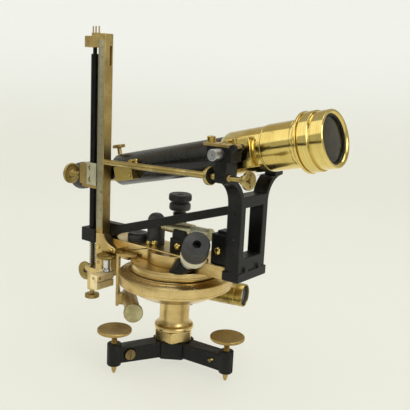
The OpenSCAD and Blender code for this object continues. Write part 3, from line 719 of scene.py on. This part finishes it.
# Castings and plates: the CAD shape with its edges eased
for node, material, width in (
    ("cross_bar", "barBrass", 0.7), ("column", "columnBrass", 0.5), ("column_foot", "castBrass", 0.5),
    ("column_top", "columnBrass", 0.4), ("rod_bracket", "castBrass", 0.45), ("clamp_jaws", "jawBrassPaintedLight", 0.5),
    ("tangent_bracket", "agedBrass", 0.5), ("barrel_strap", "agedBrass", 0.4),
    ("compass_strap_left", "agedBrass", 0.4), ("compass_strap_right", "agedBrass", 0.4),
    ("carriage", "agedBrass", 0.5), ("side_box", "boxBrass", 0.35), ("eyepiece_tube", "agedBrass", 0.4),
    ("brass_sleeve", "yellowBrass", 0.4),
    ("portal_frame", "black", 0.7), ("portal_block", "black", 0.6), ("bearing_near", "black", 0.5),
    ("bearing_far", "black", 0.5), ("brace_beam", "black", 0.6), ("level_bracket", "black", 0.5),
    ("rear_microscope", "black", 0.3), ("front_microscope", "black", 0.3), ("stay_rod", "stayBrass", 0.2),
):
    dressEased(node, finishes[material], width)
print("castings dressed")

# Small screws on the castings
for name, kind, radius, point, direction, metal, angle in (
    ("footPlateScrewLeft", "round", 2.6, (-86, -31, 118.2), front, "bright", 25),
    ("footPlateScrewRight", "round", 2.6, (-66.1, -31, 118.6), front, "bright", -40),
    ("footPlateScrewLow", "flat", 2.2, (-86, -31, 101), front, "brass", 70),
    ("ruleSlotScrew", "cheese", 1.3, (-83.9, -22.5, 320.4), right, "brass", 10),
    ("levelBracketScrew", "round", 4.0, (11, -12, 135), front, "bright", 60),
    ("portalBlockScrew", "round", 4.2, (65, -16, 142), front, "bright", 100),
    ("portalBaseScrewLeft", "flat", 2.6, (94.6, -11, 128), right, "black", 30),
    ("portalBaseScrewRight", "flat", 2.6, (94.6, 11, 128), right, "black", -20),
    ("legScrewUpper", "flat", 2.3, (85.2, -22.7, 156.7), front, "black", 45),
    ("legScrewLower", "flat", 2.3, (85.2, -22.7, 143.4), front, "black", 80),
    ("legScrewTop", "flat", 2.0, (85.2, -22.7, 182), front, "black", 10),
    ("legScrewFar", "flat", 2.3, (85.2, 22.7, 150), back, "black", 45),
    ("jawScrewFront", "flat", 1.6, (-68, -54, 91.5), front, "brass", 20),
    ("jawScrewSide", "flat", 1.6, (-62.4, -50, 91.7), right, "brass", 75),
    ("barBallFront", "ball", 3.4, (-19, -14.5, 128), up, "bright", 0),
    ("barBallBack", "ball", 2.6, (-27, -15, 128), up, "bright", 0),
    ("barScrewRear", "cheese", 3.0, (-40, 9, 128), up, "bright", 30),
    ("barScrewRearRight", "cheese", 3.0, (40, 11, 128), up, "bright", -30),
    ("barScrewFrontRight", "cheese", 2.6, (48, -13, 128), up, "bright", 12),
    ("boxScrew", "round", 2.2, (-47.8, -24.5, 201.6), front, "brass", 35),
    ("bearingScrewUpper", "flat", 1.6, (94.2, -49.5, 236.2), front, "black", 15),
    ("bearingScrewLower", "flat", 1.8, (87, -50.3, 221), front, "black", 55),
    ("bearingScrewFar", "flat", 1.8, (87, 47, 222), back, "black", 15),
    ("capScrewNear", "cheese", 1.4, (84, -46.5, 248.4), up, "bright", 15),
    ("capScrewNearInner", "cheese", 1.4, (84, -38.2, 248.4), up, "bright", 65),
    ("capScrewFar", "cheese", 1.4, (84, 46.5, 248.4), up, "bright", 15),
    ("capScrewFarInner", "cheese", 1.4, (84, 38.2, 248.4), up, "bright", 40),
    ("capStudNear", "cheese", 2.3, (95, -42.3, 252.2), up, "bright", -35),
    ("capStudFar", "cheese", 2.3, (95, 42.3, 252.2), up, "bright", 50),
    ("guideScrewLow", "flat", 1.9, (-101, -31.2, 129), front, "black", 30),
    ("topBlockScrew", "flat", 1.7, (-106, -31, 335.8), front, "brass", 30),
    ("topBlockScrewRight", "flat", 1.7, (-94, -31, 335.8), front, "brass", -10),
    ("strapScrewBarrel", "flat", 1.6, (-49.5, -28.6, 118), up, "brass", 30),
    ("tangentScrewPlate", "flat", 1.8, (-88, -12, 98), front, "brass", 30),
    ("armClampDot", "round", 1.6, (63.3, -15.3, 29), up, "bright", 0),
):
    body = {"boxScrew": "telescope", "armClampDot": "base"}.get(name, "alidade")
    if name.startswith("cap"):
        body = "cap_near" if "Near" in name else "cap_far"
    addScrew(name, kind, radius, point, direction, metal, body, angle)
addHole("ruleHole", 0.9, (-81.9, -31.3, 179.5), front, "alidade")

# Upright rule: the silvered scale on its face
ruleLook = {"left": -89.3, "right": -80.7, "low": 140, "high": 338, "front": -31.28, "depth": 0.5, "first": 150,
    "step": 1, "count": 181, "figures": -83.2}


def addRule(look):
    blank = blockPiece("ruleScale", (look["left"], look["front"], look["low"]), (look["right"],
        look["front"] + look["depth"], look["high"]), edge=0.12)
    dress(blank, finishes["scaleSilver"], "alidade")
    marks = []
    for length, width, every in ((2.0, 0.10, 1), (2.8, 0.12, 5), (3.8, 0.14, 10)):
        place = shifted(look["left"] + length / 2, look["front"], look["first"])
        mark = graduation(length, width, 0.06, place @ turned(90, "X"))
        marks.append(repeated(mark, (look["count"] - 1) // every + 1, (0, 0, look["step"] * every)))
    for tens in range(19):
        seat = shifted(look["figures"], look["front"], look["first"] + 10 * tens)
        marks.append(figure("ruleFigure", str(abs(tens - 9)), 3.2, seat @ turned(90, "X")))
    dress(joinPieces("ruleGraduations", marks), finishes["engraving"], "alidade")


addRule(ruleLook)

# Rod, spring, thumb screw
rodPlace = axisPlace((rodX, rodY, 0))
turn("slopeRod", [(0.4, 93), (1.95, 93.2), (1.95, 119.9), (3.6, 120), (4, 120.4), (4, 322.8), (3.6, 323.5),
    (2.2, 323.5), (2.2, 337.4), (1.8, 338), (0.4, 338)], rodPlace, finishes["rodBlack"], "rod", ["slope_rod"],
    sides=48)
springLook = {"radius": 3.05, "wire": 0.62, "turns": 10, "low": 92.85, "high": 119.05, "steps": 28, "seat": 92,
    "keep": 0.94}


def addSpring(look):
    wire = settle(fresh(bpy.ops.mesh.primitive_circle_add, "rodSpring", vertices=10, radius=look["wire"] * mm,
                        location=(look["radius"] * mm, 0, 0), rotation=(math.radians(90), 0, 0)))
    rise = (look["high"] - look["low"]) / look["turns"] * mm
    modify(wire, "SCREW", angle=2 * math.pi, screw_offset=rise, iterations=look["turns"], steps=look["steps"],
        render_steps=look["steps"])
    editAll(wire)
    bpy.ops.mesh.fill_holes(sides=0)
    leaveEdit()
    closeMesh(wire)
    settle(wire, axisPlace((rodX, rodY, look["low"])))
    dress(smooth(wire, 60), finishes["springBrass"], "alidade", ["rod_spring"])
    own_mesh(wire)


addSpring(springLook)
turn("rodThumbScrew", [(0.4, 55.8), (3, 55.8), (3.2, 55.6), (7.2, 55.6), (7.9, 55.9), (8.1, 56.4), (8.1, 59.2),
    (7.9, 59.7), (7.3, 60), (3.6, 60.3), (3, 60.7), (2.6, 62), (2.4, 63.4), (2, 64.4), (2, 91), (0.4, 91)], rodPlace,
    agedBrass, "rod_screw", ["rod_thumb_screw"], sides=64, mill=(56.5, 59.1, 0.2, 0.1))
print("rule and rod dressed")

# Slider: vernier plate with two lozenge slots, clamp knob
vernierLook = {"low": (-104.5, -32, 185.3), "high": (-90.4, -30.5, 209.2), "first": 189.2, "step": 0.9, "count": 18,
               "margin": 0.3, "slots": ((-100.2, 203.6), (-100.2, 190.9))}


def addVernier(look):
    plate = blockPiece("vernierPlate", look["low"], look["high"], edge=0.2)
    cutters = []
    for x, z in look["slots"]:
        place = axisPlace((x, -31, z), front, up) @ Matrix.Diagonal((1.65, 1, 1, 1))
        cutters.append(turnedPiece("lozenge", [(2.1, -2), (2.1, 2)], place, sides=4))
    dress(cutOut(plate, *cutters), finishes["silver"], "slider", ["vernier_plate"])
    marks = []
    for length, every in ((1.8, 1), (2.6, 5)):
        place = shifted(look["high"][0] - look["margin"] - length / 2, look["low"][1], look["first"])
        mark = graduation(length, 0.1, 0.05, place @ turned(90, "X"))
        marks.append(repeated(mark, look["count"] // every + 1, (0, 0, look["step"] * every)))
    dress(joinPieces("vernierGraduations", marks), finishes["engraving"], "slider")
    for number, (x, z) in enumerate(look["slots"]):
        piece = addScrew(f"vernierScrew{number}", "round", 1.35, (x, -30.62, z), front, "bright", "slider", 40)
        # a near-black lozenge at the back of each slot: painted shade in the slot
        place = axisPlace((x, -30.55, z), front, up) @ Matrix.Diagonal((1.65, 1, 1, 1))
        slotShade = turnedPiece(f"vernierSlotShade{number}", [(2.05, 0), (2.05, 0.06), (0.2, 0.06)], place, sides=4)
        dress(slotShade, finishes["recessShade"], "slider")


addVernier(vernierLook)
knobPlace = axisPlace((0, -28, 193.1), (1, 0, 0))
turn("carriageKnob", [(0.4, -135), (8.4, -135), (8.6, -135.2), (10.4, -135.2), (11.2, -134.8), (11.4, -134.3),
    (11.4, -133), (11.1, -132.4), (10.3, -132), (8.9, -132), (8.7, -132.25), (7.9, -132.25), (7.7, -132), (6, -131.7),
    (4.7, -131.2), (3.9, -129.4), (3.4, -126.5), (3.4, -119.2), (1.95, -119), (1.95, -110.5), (0.4, -110.5)],
    knobPlace, oliveBrass, "slider_clamp", ["carriage_knob"], sides=84, mill=(-134.3, -132.9, 0.25, 0.1))

# Clamp and tangent screws
clampPoint = (-67, -35.6, 0)
clampPlace = axisPlace(clampPoint)
turn("clampHead", [(4.1, 108.6), (4.3, 109.6), (5.2, 111), (10.5, 111), (11.3, 111.4), (11.5, 112), (11.5, 113.3),
    (11.2, 114), (10.6, 114.3), (8.4, 114.3), (8.2, 114.1), (3, 114.1), (2.8, 114.3), (0.4, 114.3)], clampPlace,
    oliveBrass, "jaw_clamp", sides=90, mill=(112, 113.3, 0.25, 0.1))
turn("clampStem", [(0.4, 80), (3, 80), (3, 95.6), (4.4, 95.6), (4.6, 96.1), (4.3, 97.6), (3.7, 98.9), (3.6, 102),
    (4.1, 108.6), (0.4, 108.6)], clampPlace, steelFinish("clampSteel", clampPoint, up, 0.62, 0.10), "jaw_clamp",
    ["clamp_screw"], sides=56)
tangentPlace = axisPlace((-118, 0, 81.8), (0, 1, 0))
turn("tangentScrew", [(0.4, -20.8), (2.6, -20.9), (3.4, -21.7), (3.9, -21.9), (9.6, -21.9), (10.3, -21.5),
    (10.5, -20.9), (10.5, -19.5), (10.2, -18.9), (9.6, -18.5), (3.6, -18.2), (3.3, -17), (3.2, -13), (2, -13), (2, 4),
    (0.4, 4)], tangentPlace, oliveBrass, "fine_screw", ["tangent_screw"], sides=80, mill=(-20.9, -19.5, 0.25, 0.1))
# near-black disc in the hollow of the screw's head: painted shade
turn("tangentRecessShade", [(2.5, -20.95), (2.5, -21.1), (0.2, -21.15)], tangentPlace, finishes["recessShade"], "fine_screw",
    sides=32)

# Stay rod fittings
stayStart, stayStep = Vector((-80, -27.5, 211.5)), Vector((163.5, -17.5, 7.1))
stayPlace = axisPlace(stayStart, stayStep)
stayBrassTurned = lathed(stayOlive, stayPlace)
turn("stayLockNut", [(3.25, 150.3), (7.7, 150.3), (8.2, 150.6), (8.4, 151), (8.4, 153.5), (8.2, 154.1), (7.8, 154.3),
    (7.1, 154.3), (6.9, 154), (6.4, 152.6), (3.25, 152.6)], stayPlace, stayBrassTurned, "stay_lock", ["lock_nut"],
    sides=64, bore=True, mill=(151.1, 153.4, 0.2, 0.1))
turn("stayLockShade", [(3.3, 152.6), (6.4, 152.62), (6.8, 153.8), (6.3, 152.8), (3.3, 152.8)], stayPlace,
    finishes["recessShade"], "stay_lock", sides=64, bore=True)
turn("stayCapstanNut", [(2.45, 189.7), (3.5, 189.7), (3.9, 190.1), (3.9, 191.8), (3.6, 192.1), (3.6, 192.9),
    (3.9, 193.2), (3.9, 195.5), (7.5, 195.7), (8, 196), (8.2, 196.5), (8.2, 198.5), (8, 199.1), (7.5, 199.3),
    (2.45, 199.3)], stayPlace, stayBrassTurned, "stay_nut", ["capstan_nut"], sides=64, bore=True)
rimHoleShift = math.degrees(0.8)
for number in range(4):
    angle = 20 + 90 * number
    rimAngle = angle + rimHoleShift
    point = stayPlace @ (polar(angle, 4.8, 199.3) * mm)
    addHole(f"capstanHole{number}", 0.95, point / mm, stayStep, "stay_nut")
    rim = stayPlace @ (polar(rimAngle, 8.15, 197.5) * mm)
    addHole(f"capstanRimHole{number}", 1.1, rim / mm, stayPlace.to_3x3() @ polar(rimAngle), "stay_nut")
print("screws and stay dressed")

# Slow-motion barrel and tubular compass
barrelPlace = axisPlace((-5.8, -57, 70), polar(139.3))
turn("tangentBarrel", [(0.4, 5.4), (3, 5.4), (3, 8), (7.3, 8), (8, 8.6), (8, 12), (7.7, 12.2), (7.7, 12.8), (8, 13),
    (8, 40), (7.75, 40.2), (7.75, 40.8), (8, 41), (8, 58.5), (7.7, 59.8), (6.8, 61.8), (6.2, 62), (0.4, 62)],
    barrelPlace, agedBrass, "alidade", ["tangent_barrel"], sides=60)
turn("barrelKnob", [(0.4, 0.35), (2.0, 0.35), (2.2, 0.1), (8.2, 0), (9.2, 0.15), (9.7, 0.6), (9.8, 1.2), (9.8, 4),
    (9.6, 4.6), (9, 5), (0.4, 5)], barrelPlace, lathed(paleBrass, barrelPlace, lines=3), "barrel_head",
    ["barrel_knob"], sides=80, mill=(1.2, 4, 0.25, 0.1))
compassPoint, compassAxis = (45, 66.7, 71), polar(12.8)
compassPlace = axisPlace(compassPoint, compassAxis)
turn("compassTube", [(0.4, -107.4), (10.4, -107.4), (10.6, -108.9), (12, -109), (12.6, -108.6), (12.8, -108),
    (12.8, -99), (12.5, -98.8), (12.5, -98.2), (12.8, -98), (12.8, -16), (12.2, -15.8), (12.2, -14.8), (12.8, -14.6),
    (12.8, -10.2), (12.5, -10), (12.2, -9.6), (12.2, -8.6), (12.6, -8.3), (12.8, -7), (12.8, -0.9), (12.6, -0.3),
    (12.1, 0), (11.6, -0.2), (11.4, -0.8), (11.4, -5), (0.4, -5)], compassPlace, oliveYellow, "alidade",
    ["compass_tube"], sides=72)
turn("compassRim", [(10.2, -5.1), (11.45, -5.1), (11.45, -0.9), (11.1, -0.8), (10.7, -1.6), (10.2, -3.8)],
    compassPlace, eboniteFinish("compassRimBlack", compassPoint, compassAxis), "alidade", sides=72, bore=True)
turn("compassGlass", [(10.3, -5), (10.3, -4.2), (8, -3.95), (4, -3.85), (0.4, -3.8)], compassPlace,
    glassFinish("compassGlassFace", (0.11, 0.104, 0.076, 1), (0.20, 0.19, 0.145, 1), 0.12), "alidade", sides=56)

# Level, boss, dome
levelPlace = axisPlace((0, -3, 151.5), (1, 0, 0))
turn("levelCase", [(2.2, -13.2), (2.2, -16), (5.6, -16), (6.3, -15.6), (6.5, -15), (6.5, -11.4), (6.2, -11.2),
    (6.2, -10.4), (6.5, -10.2), (6.5, 23), (6.2, 23.3), (5.2, 23.4), (0.4, 23.4), (0.4, -13.2)], levelPlace,
    levelOlive, "alidade", ["level_tube"], sides=56, bore=True)
turn("levelVial", [(0.4, 23.2), (5.5, 23.2), (5.8, 24), (5.8, 40.6), (5.5, 42.3), (0.4, 42.3)], levelPlace,
    glassFinish("vialGlass", (0.34, 0.335, 0.24, 1), (0.50, 0.49, 0.38, 1), 0.10, "vial_glass", 0.5, 0.5), "alidade",
    sides=48)
turn("levelCap", [(0.4, 42.2), (5.9, 42.2), (6.5, 42.7), (6.5, 45.2), (6, 46), (0.4, 46)], levelPlace, levelOlive,
    "alidade", sides=56)
bossPoint, domePoint, rearPoint = (-54, -2, 0), (-30, 0, 0), (-23, 30, 0)
rearPlace = axisPlace(rearPoint)
bossBlack, domeBlack, rearBlack = [eboniteFinish(name, point, up) for name, point in (
    ("bossBlack", bossPoint), ("domeBlack", domePoint), ("rearCupBlack", rearPoint))]
turn("axisBoss", [(0.4, 128), (11.3, 128), (11.5, 128.3), (11.5, 130), (11.1, 130.3), (11.1, 131), (11.5, 131.3),
    (11.5, 133.4), (11.2, 134.4), (10, 136), (5.2, 136), (5, 135.6), (2.2, 135.6), (2, 136), (0.4, 136)],
    axisPlace(bossPoint), bossBlack, "alidade", ["axis_boss"], sides=64)
turn("domedPost", [(0.4, 128), (9.2, 128), (9.4, 128.3), (9.4, 133), (9.1, 133.3), (9.1, 134.2), (9.4, 134.5),
    (9.4, 150.6), (9.15, 150.9), (9.15, 151.5), (9.4, 151.9), (9.2, 154), (8.6, 156), (7.7, 157.8), (6.4, 159.3),
    (4.7, 160.5), (2.6, 161.1), (0.4, 161.3)], axisPlace(domePoint), domeBlack, "alidade", ["domed_post"], sides=64)

# Reading microscopes
lean, swing = math.radians(52), math.radians(-45)
eyeAxis = Vector((math.sin(lean) * math.cos(swing), math.sin(lean) * math.sin(swing), math.cos(lean)))
eyePoint = (60.3, -43.8, 153.2)
eyePlace = axisPlace(eyePoint, eyeAxis)
turn("frontEyecup", [(0.4, -26.5), (5, -26.5), (5, -20), (12.3, -20), (12.9, -19.7), (13.4, -19.2), (13.4, -14.8),
    (13.2, -14.2), (12.9, -14), (12.6, -13.8), (12.6, -13.2), (12.9, -13), (12.9, -4.4), (12.6, -4.2), (12.6, -3.8),
    (12.9, -3.6), (12.9, -2.8), (12.6, -1.6), (12.1, -0.6), (11.3, 0), (10.6, -0.1), (9.6, -0.5), (8.2, -0.9),
    (6.2, -1.4), (4.6, -1.5), (4.1, -1.7), (4, -2.2), (4, -12), (0.4, -12)], eyePlace,
    eboniteFinish("frontCupBlack", eyePoint, eyeAxis), "front_eye", ["front_eyecup"], sides=84)
turn("frontReadingRing", [(12.4, -31.3), (12.8, -31.3), (13.05, -31), (13.05, -21.2), (12.8, -20.8), (12.4, -20.8)],
    eyePlace, finishes["ivory"], "alidade", sides=84, bore=True)
eyeFoot, eyeStep = Vector((27.5, -29.5, 115)), Vector((15, 3.5, 18.5))
elbowPlace = axisPlace(eyeFoot, eyeStep)
turn("frontSleeve", [(6.75, 12.4), (7.2, 12.4), (7.4, 12.7), (7.4, 22.6), (7.2, 22.9), (6.75, 22.9)], elbowPlace,
    steelFinish("sleeveMetal", eyeFoot, eyeStep, 0.30, 0.24, "black_japan"), "alidade", sides=64, bore=True)
turn("frontSocketRim", [(6.9, 10.4), (8.2, 10.4), (8.6, 10.8), (8.6, 12), (8.2, 12.4), (6.9, 12.4)], elbowPlace,
    finishes["black"], "alidade", sides=64, bore=True)
turn("rearEyecup", [(0.4, 174.5), (3.4, 174.5), (3.4, 178.3), (3.7, 178.6), (6, 178.7), (8, 179.2), (10, 180),
    (11, 179.8), (12, 179.1), (12.5, 178), (12.5, 173.3), (12, 172.3), (10.8, 171.6), (8.8, 171.1), (8.6, 170.8),
    (8.6, 170.2), (8.9, 169.9), (10.4, 169.6), (11.3, 168.7), (11.8, 167.4), (11.8, 163.7), (11.4, 162.5),
    (10.5, 161.7), (5, 161.5), (5, 157), (0.4, 157)], rearPlace, rearBlack, "rear_eye", ["rear_eyecup"], sides=84,
    mill=(173.6, 177.8, 0.2, 0.12))
turn("rearSleeveRing", [(7.2, 148), (8.0, 148), (8.2, 148.3), (8.2, 152.6), (8.0, 152.9), (7.2, 152.9)], rearPlace,
    rearBlack, "alidade", sides=56, bore=True)
print("level and microscopes dressed")

# Telescope
tubePlace = axisPlace(trunnion, tubeAxis, tubeUp)
turn("mainTube", [(11, -176.7), (13.2, -177), (13.8, -176.6), (16.9, -171.5), (17.1, -171), (17.1, -5), (15.5, -5),
    (15.5, -168), (11, -171)], tubePlace, finishes["blackTube"], "telescope", ["main_tube"], sides=110, bore=True)
yellowTurned = lathed(yellowBrass, tubePlace, "bright_brass", 1.2, "telescopeBrass")
turn("objectiveTube", [(19.8, 23), (20.9, 23), (20.9, 23.6), (21.4, 23.65), (21.7, 24), (21.7, 52.6), (21.45, 52.8),
    (21.45, 53.2), (21.9, 53.5), (22.1, 54.1), (22.1, 55.6), (21.9, 56), (22.3, 56.4), (22.8, 57), (22.8, 59.5),
    (22.4, 60), (19.8, 60)], tubePlace, yellowTurned, "telescope", ["objective_tube"], sides=120, bore=True)
turn("objectiveRing", [(19.8, 60), (26.8, 60), (27.4, 60.15), (27.7, 60.6), (27.7, 61.7), (27.5, 62.3), (27, 62.55),
    (25.6, 62.65), (25.4, 62.85), (25.4, 63.5), (25.9, 63.7), (26.7, 63.95), (26.9, 64.3), (26.9, 72.2), (26.7, 72.9),
    (26.2, 73.3), (24.8, 73.4), (24.6, 73.6), (24.6, 74.9), (25.2, 75.2), (25.6, 75.7), (25.6, 85.8), (25.4, 86.5),
    (24.8, 86.95), (24, 87), (23.2, 86.8), (22.4, 86.2), (21.6, 85.3), (21.4, 84.8), (21.4, 80), (19.8, 80)],
    tubePlace, yellowTurned, "telescope", ["objective_ring"], sides=120, bore=True)
turn("objectiveGlass", [(0.4, 80.4), (21.3, 80.4), (21.3, 82.4), (19.5, 82.75), (16, 83.1), (12, 83.3), (8, 83.42),
    (4, 83.48), (0.4, 83.5)], tubePlace, finishes["lens"], "telescope", ["objective_glass"], sides=84)
turn("lensCellRing", [(19.6, 82.9), (21.4, 82.9), (21.4, 84.9), (20.9, 85), (20.3, 84.6), (19.7, 83.6)], tubePlace,
    finishes["rodBlack"], "telescope", sides=110, bore=True)
turn("sleeveLip", [(20.5, 20.9), (20.9, 21), (21.05, 21.4), (21.05, 22.4), (20.9, 22.8), (20.5, 22.9)], tubePlace,
    yellowTurned, "telescope", sides=110, bore=True)
turn("sleeveSeam", [(20.6, 22.9), (20.95, 22.9), (20.95, 23.5), (20.6, 23.5)], tubePlace, finishes["recessShade"],
    "telescope", sides=110, bore=True)
for side, name in ((-1, "near"), (1, "far")):
    turn(f"trunnionPin{name.title()}", [(0.4, 60), (1.2, 60), (1.2, 61), (1.5, 61.3), (4.6, 61.3), (5.1, 61),
        (5.2, 60.5), (5.2, 27), (0.4, 27)], axisPlace((trunnion.x, 0, trunnion.z), (0, side, 0)),
        steelFinish(f"pinSteel{name.title()}", trunnion, (0, side, 0), 0.46, 0.28), "telescope",
        [f"trunnion_pin_{name}"], sides=56)
turn("eyecup", [(0.4, -246.2), (4, -246.2), (4, -248.2), (4.6, -248.8), (6, -249), (8.5, -248.2), (11, -247.5),
    (13, -246), (14.5, -244), (15.3, -242), (15.5, -240), (15.5, -233.2), (15.2, -232.2), (14.4, -231.2),
    (13, -230.2), (9.4, -230), (9, -229.6), (9, -226), (8.7, -225.8), (8.7, -225.2), (9, -225), (9, -186),
    (0.4, -186)], tubePlace, eboniteFinish("eyecupBlack", trunnion, tubeAxis), "ocular", ["eyecup"], sides=84)
focusPlace = axisPlace(trunnion + tubeAxis * -172.3, tubeUp, tubeAxis)
turn("focusKnob", [(0.4, 17.2), (2.3, 17.2), (2.3, 23.4), (2.7, 24), (6.2, 24), (6.8, 24.3), (6.9, 24.8), (6.9, 26.7),
    (6.7, 27.3), (6.2, 27.5), (4, 27.5), (3.8, 27.3), (1.2, 27.3), (0.4, 27.3)], focusPlace, agedBrass, "focus",
    ["focus_knob"], sides=56, mill=(24.8, 26.7, 0.2, 0.1))

# Bearing caps: the casting's two posts are cut off, a knurled nut and a slotted screw stand in their place
capLook = {"middle": 43, "half": 5, "seat": 248.4, "nutX": 70.3, "nutFrom": 65, "nutTo": 76, "studX": 95,
           "studFrom": 92, "studTo": 98, "studY": 42.3, "above": 260}


def capCutter(look, name, side, low):
    y, half = side * look["middle"], look["half"]
    corner, opposite = (look[name + "From"], y - half, low), (look[name + "To"], y + half, look["above"])
    return blockPiece(name + "Cutter", corner, opposite, edge=0.01)


def addCap(look, side, name):
    body, title, seat = f"cap_{name}", name.title(), look["seat"]
    cutters = (capCutter(look, "nut", side, seat + 0.03), capCutter(look, "stud", side, seat + 0.75))
    dress(easedCopy(body, 0.25, cutters=cutters), finishes["agedBrass"], body, [body])
    place = axisPlace((look["nutX"], side * look["middle"], seat))
    turn(f"capNut{title}", [
        (0.4, 0), (3.2, 0), (3.5, 0.3), (3.5, 1), (3.9, 1.3), (3.9, 4.9), (3.6, 5.4), (3, 5.6), (1.9, 5.6),
        (1.8, 5.1), (0.4, 5.1)], place, lathed(yellowBrass, place, "bright_brass"), body, sides=44,
        mill=(1.4, 4.8, 0.25, 0.1))
    place = axisPlace((look["studX"], side * look["studY"], seat))
    turn(f"capStudNeck{title}", [(0.4, 0), (2.35, 0), (2.35, 1.6), (1.7, 1.9), (1.7, 3.9), (0.4, 3.9)], place,
         lathed(yellowBrass, place, "bright_brass"), body, sides=36)


addCap(capLook, -1, "near")
addCap(capLook, 1, "far")
wingLook = [(0.4, 0), (1.3, 0), (1.3, 2.4), (1.9, 3), (2.2, 4.2), (1.9, 5.2), (0.9, 5.6), (0.3, 5.6)]
for number, along in enumerate((-139.5, -132.5)):
    point = trunnion + tubeAxis * along + Vector((0, -17.5, 0)) + tubeUp * 3.4
    place = axisPlace(point, tubeUp + Vector((0, -0.35, 0)), tubeAxis) @ Matrix.Diagonal((1.5, 0.7, 1, 1))
    turn(f"wingScrew{number}", wingLook, place, finishes["yellowBrass"], "telescope", sides=28)
print("telescope dressed")

for template in templates.values():
    bpy.data.objects.remove(template)


# Stage: a pale bowl, soft lamps, and a curtain behind the camera that only reflections see
stageLook = {"floor": (0.80, 0.80, 0.71, 1), "wall": (0.90, 0.91, 0.86, 1), "lit": 0.8, "radius": 1300, "rise": 700,
    "top": 2600, "mirrorFloor": (1.15, 1.14, 1.02, 1), "mirrorWall": (0.66, 0.66, 0.58, 1),
    "mirrorTop": (0.58, 0.49, 0.34, 1)}


def addStage(look):
    rings = [(look["radius"], 0)]
    for step in range(1, 9):
        angle = math.radians(90 * step / 8)
        rings.append((look["radius"] + look["rise"] * math.sin(angle), look["rise"] * (1 - math.cos(angle))))
    rings.append((look["radius"] + look["rise"], look["top"]))
    bowl = fresh(bpy.ops.mesh.primitive_circle_add, "backdrop", vertices=96, radius=look["radius"] * mm,
                 fill_type="NGON")
    editAll(bowl)
    bpy.ops.mesh.select_mode(type="EDGE")
    radius, height = rings[0]
    for nextRadius, nextHeight in rings[1:]:
        bpy.ops.mesh.extrude_edges_move(TRANSFORM_OT_translate={"value": (0, 0, (nextHeight - height) * mm)})
        share = nextRadius / radius
        bpy.ops.transform.resize(value=(share, share, 1), center_override=(0, 0, nextHeight * mm))
        radius, height = nextRadius, nextHeight
    bpy.ops.mesh.select_mode(type="VERT")
    leaveEdit()
    smooth(bowl, 40)
    board = Board("backdropPaper")
    height = board.add("ShaderNodeSeparateXYZ", {}, {0: board.point}, "Z")
    tone = board.mix(board.step(height, 0.0, 0.5), look["floor"], look["wall"])
    paper = board.add("ShaderNodeBsdfDiffuse", {}, {"Color": tone})
    camera = board.add("ShaderNodeLightPath", {}, {}, "Is Camera Ray")
    mirrored = board.mix(board.step(height, 0.0, 0.08), look["mirrorFloor"], look["mirrorWall"])
    mirrored = board.mix(board.step(height, 1.0, 1.6), mirrored, look["mirrorTop"])
    glow = board.add("ShaderNodeEmission", {}, {"Color": board.mix(camera, mirrored, tone), "Strength": 1})
    seen = camera + board.add("ShaderNodeLightPath", {}, {}, "Is Glossy Ray")
    seen = seen + board.add("ShaderNodeLightPath", {}, {}, "Is Transmission Ray")
    mixed = board.add("ShaderNodeMixShader", {}, {0: seen * look["lit"], 1: paper, 2: glow})
    board.add("ShaderNodeOutputMaterial", {}, {"Surface": mixed})
    bowl.data.materials.append(board.material)


addStage(stageLook)
curtainLook = {"distance": 1000, "width": 1500, "low": 10, "high": 185, "azimuth": -126,
    "tone": (0.035, 0.03, 0.02, 1)}


def addCurtain(look):
    outward = polar(look["azimuth"])
    middle = outward * look["distance"] + Vector((0, 0, (look["low"] + look["high"]) / 2))
    cloth = fresh(bpy.ops.mesh.primitive_grid_add, "darkCurtain", x_subdivisions=8, y_subdivisions=2, size=1)
    place = axisPlace(middle, -outward, outward.cross(up))
    cloth.matrix_world = place @ Matrix.Diagonal((look["width"] * mm, (look["high"] - look["low"]) * mm, 1, 1))
    cloth.visible_camera = False
    cloth.visible_shadow = False
    board = Board("curtainCloth")
    weave = board.noise(20, 3)
    board.finish({"Base Color": board.mix(weave, look["tone"], (0.03, 0.026, 0.02, 1)), "Roughness": 0.9})
    cloth.data.materials.append(board.material)


addCurtain(curtainLook)

lamps = [
    {"name": "keyLamp", "place": (-700, -900, 1300), "size": 1500, "power": 7},
    {"name": "sideLamp", "place": (1100, -300, 900), "size": 700, "power": 7},
    {"name": "topLamp", "place": (100, 300, 1700), "size": 1200, "power": 12},
]
lampAim = Vector((0, 0, 160))
for lamp in lamps:
    light = fresh(bpy.ops.object.light_add, lamp["name"], type="AREA", location=Vector(lamp["place"]) * mm)
    light.data.size = lamp["size"] * mm
    light.data.energy = lamp["power"]
    light.matrix_world = axisPlace(lamp["place"], Vector(lamp["place"]) - lampAim)

world = bpy.data.worlds.new("studio")
world.use_nodes = True
bpy.context.scene.world = world
world.node_tree.nodes["Background"].inputs["Color"].default_value = (1.0, 1.0, 0.98, 1)
world.node_tree.nodes["Background"].inputs["Strength"].default_value = 0.55
bpy.context.scene.view_settings.view_transform = "Standard"
print("stage set")
